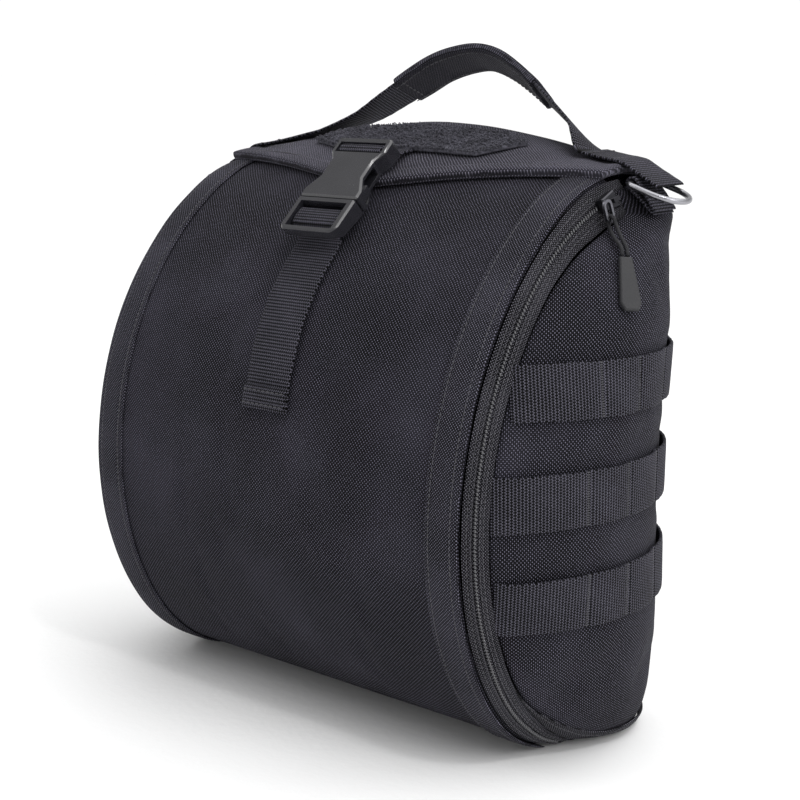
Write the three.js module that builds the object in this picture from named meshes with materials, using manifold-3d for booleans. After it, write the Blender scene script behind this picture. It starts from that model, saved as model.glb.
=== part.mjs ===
// Tactical helmet bag: a padded cloth carrier with a curved front panel that zips to two bulged sides,
// a lid that buckles down, webbing rows on the sides, a carry handle and two shoulder rings.
// Millimetres. X runs to the right seen from the front, the front faces -Y, Z is up,
// and the origin is the middle of the base panel on the surface that the bag stands on.
import * as THREE from 'three';
import { mergeVertices } from 'three/addons/utils/BufferGeometryUtils.js';
import Module from 'manifold-3d';

const wasm = await Module();
wasm.setup();

// Main body
const PANEL_WIDTH = 250;        // front panel, edge to edge
const FRONT_DEPTH = 78;         // from the middle to the foremost line of the front
const BACK_DEPTH = 78;          // from the middle to the outside of the back panel
const BELLY_HEIGHT = 125;       // height of the foremost line of the front
const LOWER_REACH = 95;         // how far the lower front curve sweeps back
const LOWER_DROP = 126;         // how far the lower front curve would drop, cut flat by the base
const UPPER_REACH = 165;        // how far the upper front curve would sweep back
const UPPER_RISE = 170;         // how far the upper front curve rises
const FRONT_CROWN = 4;          // how far the front stands proud in the middle of its upper half
const DOME_RISE = 7.9;          // lid over the upper curve, in the middle
const DOME_FALL = 21;           // how much lower the lid lies at its side edges
const SIDE_BULGE = 31;          // how far a side stands out from its seams
const SIDE_FOOT_BULGE = 6;      // the same along the bottom edge
const RIM_DRAW = 14;            // how much less it stands out along its top seam
const FOOT_TUCK = 10;           // how far the back draws in at the base
const TUCK_HEIGHT = 90;         // where that begins
const SHOULDER_DROP = 0.97;     // from the lid's lowest corner down to the top of the shoulder
const SHOULDER_INSET = 7;       // from the outside of the back to the shoulder's back end
const PANEL_TOP_ANGLE = 73;     // where the front panel ends under the lid, degrees up its curve
const LID_BACK_ANGLE = 84.3;    // where the lid turns down to the back panel
const LID_ROLL = 3;             // inside radius of that turn

// Cloth and padding
const FRONT_WALL = 3.5;
const SIDE_WALL = 3;
const BACK_WALL = 6;
const BASE_WALL = 5;
const LID_WALL = 3;
const HEM_STEP = 0.8;           // how much thicker the lid is along its folded hem
const CLEARANCE = 0.35;         // between pieces that lie against each other
const LAY = 0.5;                // under a piece that lies on a curved panel

// Seams, zip and binding
const BINDING_WIDTH = 19;
const BINDING_THICKNESS = 1;
const ZIP_REACH = 8;            // from the front panel's edge out to the side panel's front seam
const ZIP_INSET = 13.5;         // how far that seam lies behind the front's curve
const ZIP_TAPE = 1.2;
const ZIP_COIL = 1.9;
const SEAM_GAP = 0.5;
const SEAM_FOOT = 2.6;          // height of the sides' and tapes' lowest edge
const SEAM_TOP_ANGLE = 72;      // where a side's front seam ends, degrees up the front's curve

// Webbing
const WEBBING = 1.6;            // thickness
const STRAP_WIDTH = 30;
const STRAP_FOOT_ANGLE = 15;    // where the front strap is sewn down, degrees up the front's curve
const MOLLE_WIDTH = 26.5;
const MOLLE_PITCH = 50;
const MOLLE_LOWEST = 91.25;     // middle of the lowest row
const MOLLE_ROWS = 3;
const MOLLE_THICKNESS = 1.8;
const MOLLE_PUFF = 1;           // how far a row stands off between its tacks
const HANDLE_WIDTH = 25;
const HANDLE_SPAN = 206;        // between the places where the arch leaves the lid
const HANDLE_RISE = 46.5;       // of the arch over the lid there
const HANDLE_LEAN = 25;         // how far the top of the arch leans back
const HANDLE_TWIST = 36;        // how far the webbing leans back at most, degrees
const HANDLE_SEAT = 60;         // how far back the handle crosses the lid
const TAIL_REACH = 148;         // where the handle's folded ends stop, from the middle
const TAIL_DROP = 10.9;         // from the lid's edge down to that end
const WRAP_THICKNESS = 0.9;     // of the sleeve sewn round the handle's middle
const WRAP_LEFT = 42;           // how far it reaches to each side of the middle, at most
const WRAP_RIGHT = 62;

// Lid trim
const LID_EDGE_ANGLE = 58.3;    // where the lid's front edge lies in the middle, degrees up the curve
const LID_EDGE_SWEEP = 11.7;    // how much further up it lies at its corners
const PATCH_THICKNESS = 2;
const PATCH_FRONT_ANGLE = 69;
const PATCH_BACK_ANGLE = 79.5;

// Buckle
const BUCKLE_FOOT_ANGLE = 44.25; // where its foot lies, degrees up the front's curve
const BUCKLE_FOOT_LIFT = 3.2;   // from the front there to its underside
const BUCKLE_HEAD_ANGLE = 65.15; // where its head lies
const BUCKLE_HEAD_LIFT = 5.7;   // from the lid there to its underside
const BUCKLE_LENGTH = 65;
const BUCKLE_WIDTH = 38.5;
const BUCKLE_THICKNESS = 11;
const MALE_LENGTH = 23;
const BUCKLE_EDGE = 1;          // bevel of its edges
const LADDER_SLOTS = [{ from: 2.6, to: 8.2 }, { from: 14.2, to: 19.6 }];
const TOP_SLOT = { from: 54.5, to: 61.5 };
const SLOT_SPARE = 1.2;         // how much wider the slots are than the straps
const BAR_SINK = 3.4;           // how far the ladder bar lies below the buckle's face
const SOCKET = { width: 31, height: 5.6, depth: 25 };
const WINDOW = { from: 3.5, to: 12 };

// Shoulder rings
const RING_WIRE = 3;
const RING_WIDTH = 30;          // along the bar, outside
const RING_REACH = 26;          // from the bar's middle line to the outside of the bow
const RING_BAR_OUT = 6.7;       // from the lid's edge out to the bar
const RING_BAR_RISE = 1.5;      // from the shoulder's top up to it
const RING_BAR_BACK = 56;       // how far back it lies
const RING_DROP = 18;           // degrees below level, as it lies
const TAB_WIDTH = 20;

// Zip pulls
const SLIDER = { length: 11, width: 9, height: 5 };
const SLIDER_ANGLE = 67.5;      // where the closed slider stops, degrees up the front's curve
const PULL_CORD = 2;            // diameter
const PULL_TAB = { length: 27, width: 11, thickness: 3 };
const CORD_SPREAD = 1.3;        // of each strand from the pull's middle line
const PULL_WIRE = 1.4;
const CORD_BEND = 2.3;          // radius of the cord's turn round the wire

const HALF = PANEL_WIDTH / 2;
const LOWER_CENTRE_Y = LOWER_REACH - FRONT_DEPTH;
const UPPER_CENTRE_Y = UPPER_REACH - FRONT_DEPTH;
const LID_HALF = HALF + 2.3;
const BACK_HALF = HALF + 1.3;
const SEAM_X = HALF + ZIP_REACH;
const SIDE_BACK_X = HALF + 5;
const LID_LIFT = LAY + BINDING_THICKNESS + LAY;
const LID_TOP = LID_LIFT + LID_WALL;
const BAND_FOOT = ZIP_TAPE + 0.3;

// Pieces are built with y counted from the plane that splits the depth, then moved onto the base's middle
const assembly = new THREE.Group();
const bag = new THREE.Group();
assembly.add(bag);
const radians = THREE.MathUtils.degToRad;
const lerp = THREE.MathUtils.lerp;

const finishes = {
  frontCloth: { color: 0x2f2e33, roughness: 0.85, metalness: 0 },
  sideCloth: { color: 0x3b3a40, roughness: 0.85, metalness: 0 },
  lidCloth: { color: 0x46454b, roughness: 0.85, metalness: 0 },
  webbing: { color: 0x343338, roughness: 0.75, metalness: 0 },
  binding: { color: 0x3a3a3f, roughness: 0.8, metalness: 0 },
  loopPile: { color: 0x3e3e43, roughness: 1, metalness: 0 },
  zipTape: { color: 0x333238, roughness: 0.8, metalness: 0 },
  zipCoil: { color: 0x28282b, roughness: 0.5, metalness: 0 },
  plastic: { color: 0x3c3c40, roughness: 0.45, metalness: 0 },
  rubber: { color: 0x2c2c2f, roughness: 0.6, metalness: 0 },
  cord: { color: 0x26262a, roughness: 0.8, metalness: 0 },
  metal: { color: 0x6a6b70, roughness: 0.3, metalness: 1 },
};

function place(name, geometry, finish, parent = bag) {
  const mesh = new THREE.Mesh(geometry, new THREE.MeshStandardMaterial(finish));
  mesh.name = name;
  parent.add(mesh);
  return mesh;
}

// A value read from a table of rows, straight between one row and the next
function fromTable(table, key, value, at) {
  const last = table.length - 1;
  if (at <= table[0][key]) return table[0][value];
  if (at >= table[last][key]) return table[last][value];
  const next = table.findIndex((row) => row[key] > at);
  const low = table[next - 1];
  const high = table[next];
  return lerp(low[value], high[value], (at - low[key]) / (high[key] - low[key]));
}

function signedVolume(positions, index) {
  let volume = 0;
  const corner = (n) => new THREE.Vector3().fromArray(positions, index[n] * 3);
  for (let n = 0; n < index.length; n += 3) {
    volume += corner(n).dot(corner(n + 1).cross(corner(n + 2)));
  }
  return volume / 6;
}

function closedBody(positions, index) {
  if (signedVolume(positions, index) < 0) {
    for (let n = 0; n < index.length; n += 3) {
      [index[n + 1], index[n + 2]] = [index[n + 2], index[n + 1]];
    }
  }
  const geometry = new THREE.BufferGeometry();
  geometry.setAttribute('position', new THREE.Float32BufferAttribute(positions, 3));
  geometry.setIndex(index);
  geometry.computeVertexNormals();
  return geometry;
}

// A grid of spots {at, out} thickened from one lift above it to another, closed round its rim
function closedSheet(grid, low, high) {
  const rows = grid.length;
  const cols = grid[0].length;
  const positions = [];
  const index = [];
  const lift = (amount, i, j) => (typeof amount === 'function' ? amount(i, j) : amount);
  for (const amount of [high, low]) {
    grid.forEach((row, i) => row.forEach((spot, j) => {
      const point = spot.at.clone().addScaledVector(spot.out, lift(amount, i, j));
      positions.push(point.x, point.y, point.z);
    }));
  }
  const top = (i, j) => i * cols + j;
  const under = (i, j) => rows * cols + i * cols + j;
  for (let i = 0; i < rows - 1; i += 1) {
    for (let j = 0; j < cols - 1; j += 1) {
      index.push(top(i, j), top(i + 1, j), top(i + 1, j + 1), top(i, j), top(i + 1, j + 1), top(i, j + 1));
      index.push(under(i, j), under(i + 1, j + 1), under(i + 1, j));
      index.push(under(i, j), under(i, j + 1), under(i + 1, j + 1));
    }
  }
  const rim = (a, b, c, d) => index.push(a, b, c, b, d, c);
  for (let i = 0; i < rows - 1; i += 1) {
    rim(top(i, 0), under(i, 0), top(i + 1, 0), under(i + 1, 0));
    rim(top(i + 1, cols - 1), under(i + 1, cols - 1), top(i, cols - 1), under(i, cols - 1));
  }
  for (let j = 0; j < cols - 1; j += 1) {
    rim(top(0, j + 1), under(0, j + 1), top(0, j), under(0, j));
    rim(top(rows - 1, j), under(rows - 1, j), top(rows - 1, j + 1), under(rows - 1, j + 1));
  }
  return closedBody(positions, index);
}

// Outward direction at each spot of a grid of points, from its neighbours; it points away from `inside`
function withOutward(points, inside) {
  const rows = points.length;
  const cols = points[0].length;
  return points.map((row, i) => row.map((at, j) => {
    const along = points[Math.min(i + 1, rows - 1)][j].clone().sub(points[Math.max(i - 1, 0)][j]);
    const across = row[Math.min(j + 1, cols - 1)].clone().sub(row[Math.max(j - 1, 0)]);
    const out = along.cross(across).normalize();
    if (out.dot(at.clone().sub(inside)) < 0) out.negate();
    return { at, out };
  }));
}

function mirrored(geometry) {
  const source = geometry.index ? geometry : mergeVertices(geometry);
  const positions = Array.from(source.attributes.position.array);
  for (let n = 0; n < positions.length; n += 3) positions[n] = -positions[n];
  return closedBody(positions, Array.from(source.index.array));
}

function bare(geometry) {
  const copy = geometry.clone();
  copy.deleteAttribute('normal');
  copy.deleteAttribute('uv');
  return copy;
}

function toSolid(geometry) {
  const merged = mergeVertices(bare(geometry), 1e-4);
  return new wasm.Manifold(new wasm.Mesh({
    numProp: 3,
    vertProperties: new Float32Array(merged.attributes.position.array),
    triVerts: new Uint32Array(merged.index.array),
  }));
}

function fromSolid(solid) {
  const mesh = solid.getMesh();
  return closedBody(Array.from(mesh.vertProperties), Array.from(mesh.triVerts));
}

function boxAt(width, length, height, x, y, z) {
  return new THREE.BoxGeometry(width, length, height).translate(x, y, z);
}

// Front curve seen from the side: an angle of -90 is its foot, 0 the foremost line, 90 the top
function frontCurve(angle) {
  const turn = radians(angle);
  if (angle < 0) {
    const y = LOWER_CENTRE_Y - LOWER_REACH * Math.cos(turn);
    return { y, z: Math.max(0, BELLY_HEIGHT + LOWER_DROP * Math.sin(turn)) };
  }
  return {
    y: UPPER_CENTRE_Y - UPPER_REACH * Math.cos(turn),
    z: BELLY_HEIGHT + UPPER_RISE * Math.sin(turn),
  };
}

function frontOutward(angle) {
  const turn = radians(angle);
  const drop = angle < 0 ? LOWER_DROP : UPPER_RISE;
  const reach = angle < 0 ? LOWER_REACH : UPPER_REACH;
  return new THREE.Vector3(0, -Math.cos(turn) / reach, Math.sin(turn) / drop).normalize();
}

// How far the front and lid stand off the front curve, at x and at an angle up it
function crown(x, angle) {
  const share = Math.min(1.02, Math.abs(x) / HALF);
  const front = FRONT_CROWN * THREE.MathUtils.smoothstep(angle, 5, 40) * Math.max(0, 1 - share ** 2);
  const dome = DOME_RISE - DOME_FALL * share ** 1.7;
  const toDome = Math.max(0, (angle - 58) / (LID_BACK_ANGLE - 58)) ** 2;
  return lerp(front, dome, Math.min(1, toDome));
}

function frontSpot(x, angle) {
  const { y, z } = frontCurve(angle);
  const out = frontOutward(angle);
  const flat = z <= 0 ? new THREE.Vector3(0, 0, -1) : out;
  return { at: new THREE.Vector3(x, y, z).addScaledVector(out, crown(x, angle)), out: flat };
}

// The side panel's front seam behind the front curve, as shares of ZIP_INSET
const seamInsets = [
  { angle: -90, share: 0.2 },
  { angle: -75, share: 0.6 },
  { angle: -60, share: 0.88 },
  { angle: -30, share: 1 },
  { angle: 20, share: 0.97 },
  { angle: 45, share: 1.05 },
  { angle: 55, share: 1.22 },
  { angle: 62, share: 1.45 },
  { angle: 73, share: 1.62 },
];

function seamPoint(angle) {
  const { y, z } = frontCurve(angle);
  const inset = ZIP_INSET * fromTable(seamInsets, 'angle', 'share', angle);
  const point = new THREE.Vector3(SEAM_X, y, z).addScaledVector(frontOutward(angle), -inset);
  point.z = Math.max(point.z, SEAM_FOOT);
  return point;
}

// Angles up the front curve whose seam point lies at a given height
function angleAtHeight(height) {
  let low = -90;
  let high = SEAM_TOP_ANGLE;
  for (let n = 0; n < 50; n += 1) {
    const middle = (low + high) / 2;
    if (seamPoint(middle).z < height) low = middle;
    else high = middle;
  }
  return (low + high) / 2;
}

const molleMiddles = Array.from({ length: MOLLE_ROWS }, (_, n) => MOLLE_LOWEST + n * MOLLE_PITCH);
const molleEdges = molleMiddles.flatMap((z) => [z - MOLLE_WIDTH / 2, z, z + MOLLE_WIDTH / 2]);
const seamTop = seamPoint(SEAM_TOP_ANGLE).z;

// Heights of the side panel's rows: the webbing's edges, and steps that fill the rest
function sideLevels() {
  const lowest = molleEdges[0];
  const highest = molleEdges[molleEdges.length - 1];
  const levels = [...molleEdges];
  for (const share of [0.1, 0.25, 0.45, 0.7]) levels.push(lerp(SEAM_FOOT, lowest, share));
  for (const share of [0.15, 0.3, 0.45, 0.6, 0.74, 0.86, 0.94]) levels.push(lerp(highest, seamTop, share));
  for (let n = 0; n < MOLLE_ROWS - 1; n += 1) levels.push(molleMiddles[n] + MOLLE_PITCH / 2);
  return levels.sort((a, b) => a - b);
}

const seamAngles = [-90, ...sideLevels().map(angleAtHeight), SEAM_TOP_ANGLE];
const sideStations = [0, 0.06, 0.14, 0.24, 0.35, 0.47, 0.6, 0.73, 0.84, 0.93, 1];

function sideBulge(z) {
  const rise = Math.min(1, z / molleEdges[0]);
  const low = lerp(SIDE_FOOT_BULGE, SIDE_BULGE, Math.sqrt(Math.max(0, 1 - (1 - rise) ** 2)));
  const high = Math.max(0, (z - molleEdges.at(-1)) / (seamTop - molleEdges.at(-1)));
  return low - RIM_DRAW * high ** 2;
}

function backY(z) {
  return BACK_DEPTH - FOOT_TUCK * Math.max(0, 1 - z / TUCK_HEIGHT) ** 2;
}

function sidePoint(station, angle) {
  const seam = seamPoint(angle);
  const power = station < 0.5 ? 1.9 : 2.4;
  const shape = 1 - Math.abs(2 * station - 1) ** power;
  const x = lerp(seam.x, SIDE_BACK_X, station) + sideBulge(seam.z) * shape;
  return new THREE.Vector3(x, lerp(seam.y, backY(seam.z), station), seam.z);
}

const bagMiddle = new THREE.Vector3(0, 0, BELLY_HEIGHT);
const shoulderHeight = frontSpot(LID_HALF, LID_BACK_ANGLE).at.z - SHOULDER_DROP;
const ringBar = new THREE.Vector3(LID_HALF + RING_BAR_OUT, RING_BAR_BACK, shoulderHeight + RING_BAR_RISE);

function sidePanel() {
  const wall = seamAngles.map((angle) => sideStations.map((station) => sidePoint(station, angle)));
  const rim = wall[wall.length - 1];
  const shoulderRows = [0.3, 0.65, 1];
  for (const rise of shoulderRows) {
    wall.push(rim.map((edge, j) => new THREE.Vector3(
      lerp(edge.x, LID_HALF + SEAM_GAP, rise),
      lerp(edge.y, lerp(frontCurve(SEAM_TOP_ANGLE).y + 4, BACK_DEPTH - SHOULDER_INSET, sideStations[j]), rise),
      lerp(edge.z, shoulderHeight, rise ** 1.25),
    )));
  }
  return closedSheet(withOutward(wall, bagMiddle), -SIDE_WALL, 0);
}

// One row of webbing on the side, tacked down at each station in the table and puffed between
const tackShares = [0.03, 0.29, 0.47, 0.67, 0.98];

function mollePuff(station) {
  const next = tackShares.findIndex((tack) => tack > station);
  if (next < 1) return 0;
  const share = (station - tackShares[next - 1]) / (tackShares[next] - tackShares[next - 1]);
  return MOLLE_PUFF * Math.sin(Math.PI * share) ** 2;
}

function molleRow(middle) {
  const angles = [-0.5, 0, 0.5].map((share) => angleAtHeight(middle + share * MOLLE_WIDTH));
  const stations = sideStations.slice(0, -1).concat(0.985);
  stations[0] = 0.02;
  const points = angles.map((angle) => stations.map((station) => sidePoint(station, angle)));
  const grid = withOutward(points, bagMiddle);
  const puff = (i, j) => mollePuff(stations[j]);
  return closedSheet(grid, (i, j) => LAY + puff(i, j), (i, j) => LAY + MOLLE_THICKNESS + puff(i, j));
}

const panelColumns = [-1, -0.848, -0.7, -0.42, -0.12, 0.12, 0.42, 0.7, 0.848, 1];

function frontPanel() {
  const angles = [...seamAngles, PANEL_TOP_ANGLE];
  const grid = angles.map((angle) => panelColumns.map((share) => frontSpot(share * HALF, angle)));
  return closedSheet(grid, -FRONT_WALL, 0);
}

function edgeBinding() {
  const inner = HALF - BINDING_WIDTH;
  const angles = seamAngles.filter((angle) => frontCurve(angle).z > 2);
  const grid = angles.map((angle) => [inner, HALF].map((x) => frontSpot(x, angle)));
  return closedSheet(grid, LAY, LAY + BINDING_THICKNESS);
}

function frontStrapPath() {
  const angles = [STRAP_FOOT_ANGLE, ...seamAngles.filter((angle) => angle > STRAP_FOOT_ANGLE && angle < 44)];
  const lift = LAY + WEBBING / 2;
  return angles.map((angle) => {
    const spot = frontSpot(STRAP_WIDTH / 2, angle);
    return spot.at.clone().addScaledVector(spot.out, lift).setX(0);
  });
}

// Where the buckle lies: its foot over the front, and its head over the lid
const buckleUnder = [
  { angle: BUCKLE_FOOT_ANGLE, lift: BUCKLE_FOOT_LIFT },
  { angle: BUCKLE_HEAD_ANGLE, lift: LID_TOP + BUCKLE_HEAD_LIFT },
].map(({ angle, lift }) => {
  const { at, out } = frontSpot(0, angle);
  return at.addScaledVector(out, lift);
});
const buckleAlong = buckleUnder[1].clone().sub(buckleUnder[0]).normalize();
const buckleUp = new THREE.Vector3(0, -buckleAlong.z, buckleAlong.y);

// A point in the buckle's own frame: along it from its foot, and down from its face
function buckleSpot(along, depth) {
  return buckleUnder[0].clone()
    .addScaledVector(buckleAlong, along)
    .addScaledVector(buckleUp, BUCKLE_THICKNESS - depth);
}

// A flat band of webbing whose middle line lies in the plane x = 0
function bandAlong(path, width, thickness) {
  const grid = path.map((at, i) => {
    const along = path[Math.min(i + 1, path.length - 1)].clone().sub(path[Math.max(i - 1, 0)]);
    const out = new THREE.Vector3(0, -along.z, along.y).normalize();
    return [-width / 2, width / 2].map((x) => ({ at: at.clone().setX(x), out }));
  });
  return closedSheet(grid, -thickness / 2, thickness / 2);
}

// The front strap: up the front, through the ladder's lower slot, over its bar and down the upper slot
function frontStrap() {
  const [lower, upper] = LADDER_SLOTS;
  const over = BAR_SINK - CLEARANCE - WEBBING / 2 - 0.15;
  const under = BUCKLE_THICKNESS + CLEARANCE + WEBBING / 2;
  const rise = lower.from + 2.9;
  const fall = upper.to - 2.6;
  const path = [
    ...frontStrapPath(),
    buckleSpot(lower.from - 0.4, under + 0.3),
    buckleSpot(rise - 0.6, under - 0.6),
    buckleSpot(rise, under - 3),
    buckleSpot(rise + 0.2, over + 3),
    buckleSpot(lower.to - 1.9, over + 0.7),
    buckleSpot(lower.to + 0.2, over),
    buckleSpot(upper.from - 0.2, over),
    buckleSpot(upper.from + 1.9, over + 0.7),
    buckleSpot(fall - 0.2, over + 3),
    buckleSpot(fall, under - 3),
    buckleSpot(fall + 0.6, under - 0.6),
    buckleSpot(upper.to + 0.7, under + 0.3),
    buckleSpot(upper.to + 6, under + 0.4),
  ];
  return bandAlong(path, STRAP_WIDTH, WEBBING);
}

function flapStrap() {
  const lift = LID_TOP + LAY + WEBBING / 2;
  const onLid = [0.25, 0].map((row) => patchSpot(row, 0.5)).map(({ at, out }) => (
    at.clone().addScaledVector(out, lift).setX(0)
  ));
  const under = BUCKLE_THICKNESS + CLEARANCE + WEBBING / 2;
  const path = [
    ...onLid,
    buckleSpot(BUCKLE_LENGTH + 4, under + 2.4),
    buckleSpot(TOP_SLOT.to + 1.1, under + 0.7),
    buckleSpot(TOP_SLOT.to - 1.5, under - 0.4),
    buckleSpot(TOP_SLOT.to - 1.4, under - 3),
    buckleSpot(TOP_SLOT.to - 1.6, 4.6),
    buckleSpot((TOP_SLOT.from + TOP_SLOT.to) / 2, 3),
    buckleSpot(TOP_SLOT.from + 1.6, 4.6),
    buckleSpot(TOP_SLOT.from + 1.4, under - 3),
    buckleSpot(TOP_SLOT.from + 1.5, under - 0.4),
  ];
  return bandAlong(path.reverse(), STRAP_WIDTH, WEBBING);
}

const lidColumns = [-1, -0.94, -0.85, -0.7, -0.55, -0.4, -0.25, -0.12, 0.12, 0.25, 0.4, 0.55, 0.7, 0.85, 0.94, 1];
const lidRows = [0, 0.09, 0.11, 0.28, 0.46, 0.64, 0.82, 1];

const lidEdgeAngle = (x) => LID_EDGE_ANGLE + LID_EDGE_SWEEP * Math.abs(x) / HALF;

// The lid: from its front edge over the dome, then rolled down to the back panel's top edge
function lid() {
  const columns = lidColumns.map((share) => share * LID_HALF);
  const grid = lidRows.map((share) => columns.map((x) => (
    frontSpot(x, lerp(lidEdgeAngle(x), LID_BACK_ANGLE, share))
  )));
  for (const turn of [30, 60, 90]) {
    grid.push(columns.map((x) => {
      const last = frontSpot(x, LID_BACK_ANGLE);
      const centre = last.at.clone().addScaledVector(last.out, -LID_ROLL);
      const lean = radians(turn);
      const out = new THREE.Vector3(0, Math.sin(lean), Math.cos(lean));
      return { at: centre.addScaledVector(out, LID_ROLL), out };
    }));
  }
  const hem = (i, j) => LID_TOP + (i < 2 || j === 0 || j === columns.length - 1 ? HEM_STEP : 0);
  return closedSheet(grid, LID_LIFT, hem);
}

// The loop patch on the dome: six-sided, widest near its back edge
const patchOutline = [
  { row: 0, left: -0.3, right: 0.44 },
  { row: 0.35, left: -0.52, right: 0.52 },
  { row: 0.7, left: -0.52, right: 0.58 },
  { row: 1, left: -0.46, right: 0.5 },
];

function patchSpot(row, across) {
  const left = fromTable(patchOutline, 'row', 'left', row);
  const right = fromTable(patchOutline, 'row', 'right', row);
  return frontSpot(HALF * lerp(left, right, across), lerp(PATCH_FRONT_ANGLE, PATCH_BACK_ANGLE, row));
}

function loopPatch() {
  const across = [0, 0.14, 0.28, 0.42, 0.56, 0.7, 0.84, 1];
  const grid = [0, 0.35, 0.7, 1].map((row) => across.map((share) => patchSpot(row, share)));
  const low = LID_TOP + LAY + WEBBING + CLEARANCE;
  return closedSheet(grid, low, low + PATCH_THICKNESS);
}

const backRows = [0, 0.08, 0.17, 0.3, 0.55, 0.78, 1];

function backPanel() {
  const out = new THREE.Vector3(0, 1, 0);
  const grid = backRows.map((share) => lidColumns.map((column) => {
    const x = column * BACK_HALF;
    const top = frontSpot(column * LID_HALF, LID_BACK_ANGLE).at.z - LID_ROLL - 2 * CLEARANCE;
    const z = lerp(CLEARANCE, top, share);
    return { at: new THREE.Vector3(x, backY(z), z), out };
  }));
  return closedSheet(grid, -BACK_WALL, 0);
}

const baseReach = { front: LOWER_CENTRE_Y + CLEARANCE, back: backY(0) - BACK_WALL - CLEARANCE };
const baseMiddle = (baseReach.front + baseReach.back) / 2;

function basePanel() {
  return boxAt(PANEL_WIDTH, baseReach.back - baseReach.front, BASE_WALL, 0, baseMiddle, BASE_WALL / 2);
}

// The zip's band: along the base, then up beside the front panel, with its coil between two shares
const bandShares = { outer: 0, coilFront: 0.34, coilBack: 0.62, inner: 1 };

function bandPoint(row, share) {
  const outerX = HALF + ZIP_TAPE + CLEARANCE;
  if (row.station !== undefined) {
    const inner = sidePoint(row.station, -90);
    inner.x -= SEAM_GAP;
    inner.z -= 1.4;
    return new THREE.Vector3(outerX, inner.y, BAND_FOOT).lerp(inner, share);
  }
  const edge = frontSpot(HALF, row.angle);
  const outer = edge.at.clone().addScaledVector(edge.out, -1).setX(outerX);
  outer.z = Math.max(outer.z, BAND_FOOT);
  const inner = seamPoint(row.angle);
  inner.x -= SEAM_GAP;
  inner.addScaledVector(frontOutward(row.angle), SEAM_GAP);
  return outer.lerp(inner, share);
}

const baseRows = [0.86, 0.72, 0.55, 0.35, 0.15].map((station) => ({ station }));
const curveRows = [...seamAngles.slice(0, -1), SEAM_TOP_ANGLE - 0.8].map((angle) => ({ angle }));

function zipTape() {
  const shares = Object.values(bandShares);
  const points = [...baseRows, ...curveRows].map((row) => shares.map((share) => bandPoint(row, share)));
  return closedSheet(withOutward(points, bagMiddle), -ZIP_TAPE, 0);
}

function zipCoil() {
  const rows = curveRows.filter(({ angle }) => angle > -80 && angle < SLIDER_ANGLE - 2);
  const shares = [bandShares.coilFront, bandShares.coilBack];
  const points = rows.map((row) => shares.map((share) => bandPoint(row, share)));
  return closedSheet(withOutward(points, bagMiddle), CLEARANCE, CLEARANCE + ZIP_COIL);
}

// The handle's arch in shares of its half span, rise, lean and twist
const archTable = [
  { across: -1, rise: 0, lean: 0, twist: 0 },
  { across: -0.88, rise: 0.06, lean: 0.05, twist: 0 },
  { across: -0.78, rise: 0.12, lean: 0.24, twist: 0.05 },
  { across: -0.58, rise: 0.29, lean: 0.46, twist: 0.2 },
  { across: -0.44, rise: 0.49, lean: 0.69, twist: 0.38 },
  { across: -0.29, rise: 0.7, lean: 0.87, twist: 0.58 },
  { across: -0.15, rise: 0.87, lean: 0.96, twist: 0.64 },
  { across: 0, rise: 0.97, lean: 1, twist: 0.66 },
  { across: 0.15, rise: 1, lean: 1, twist: 0.76 },
  { across: 0.29, rise: 0.92, lean: 0.98, twist: 0.95 },
  { across: 0.44, rise: 0.75, lean: 0.9, twist: 1 },
  { across: 0.58, rise: 0.56, lean: 0.76, twist: 0.97 },
  { across: 0.73, rise: 0.36, lean: 0.55, twist: 0.95 },
  { across: 0.87, rise: 0.17, lean: 0.31, twist: 0.8 },
  { across: 1, rise: 0, lean: 0, twist: 0 },
];

function lidTopAt(x) {
  const heights = [-0.5, -0.25, 0, 0.25, 0.5].map((share) => {
    const turn = Math.acos((UPPER_CENTRE_Y - HANDLE_SEAT - share * HANDLE_WIDTH) / UPPER_REACH);
    return frontSpot(x, THREE.MathUtils.radToDeg(turn)).at.z;
  });
  return Math.max(...heights) + LID_TOP + HEM_STEP;
}

function handleSpots() {
  const foot = HANDLE_SPAN / 2;
  const seat = lidTopAt(foot) + LAY + WEBBING / 2;
  const knots = archTable.map((row) => new THREE.Vector3(
    row.across * foot,
    HANDLE_SEAT + row.lean * HANDLE_LEAN,
    seat + row.rise * HANDLE_RISE,
  ));
  const twists = archTable.map((row) => new THREE.Vector3(row.across, row.twist, 0));
  const arch = new THREE.CatmullRomCurve3(knots, false, 'centripetal');
  const turning = new THREE.CatmullRomCurve3(twists, false, 'centripetal');
  const steps = 30;
  const spots = [];
  for (let n = 0; n <= steps; n += 1) {
    spots.push({ at: arch.getPoint(n / steps), lean: HANDLE_TWIST * turning.getPoint(n / steps).y });
  }
  const tail = (side) => {
    const edge = lidTopAt(LID_HALF) + LAY + WEBBING / 2;
    const flat = [0.5, 1].map((share) => {
      const x = lerp(foot, LID_HALF, share);
      return { at: new THREE.Vector3(side * x, HANDLE_SEAT, lidTopAt(x) + LAY + WEBBING / 2), lean: 0 };
    });
    const drop = [0.33, 0.66, 1].map((share) => ({
      at: new THREE.Vector3(
        side * lerp(LID_HALF, TAIL_REACH, share),
        HANDLE_SEAT,
        edge - TAIL_DROP * share,
      ),
      lean: 0,
    }));
    return [...flat, ...drop];
  };
  return [...tail(-1).reverse(), ...spots, ...tail(1)];
}

function handleGrid(spots, width) {
  return spots.map(({ at, lean }, i) => {
    const along = spots[Math.min(i + 1, spots.length - 1)].at.clone();
    along.sub(spots[Math.max(i - 1, 0)].at);
    const turn = radians(lean);
    const across = new THREE.Vector3(0, Math.cos(turn), -Math.sin(turn));
    const out = across.clone().cross(along).normalize().negate();
    if (out.z < 0) out.negate();
    return [-width / 2, width / 2].map((reach) => ({ at: at.clone().addScaledVector(across, reach), out }));
  });
}

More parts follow.
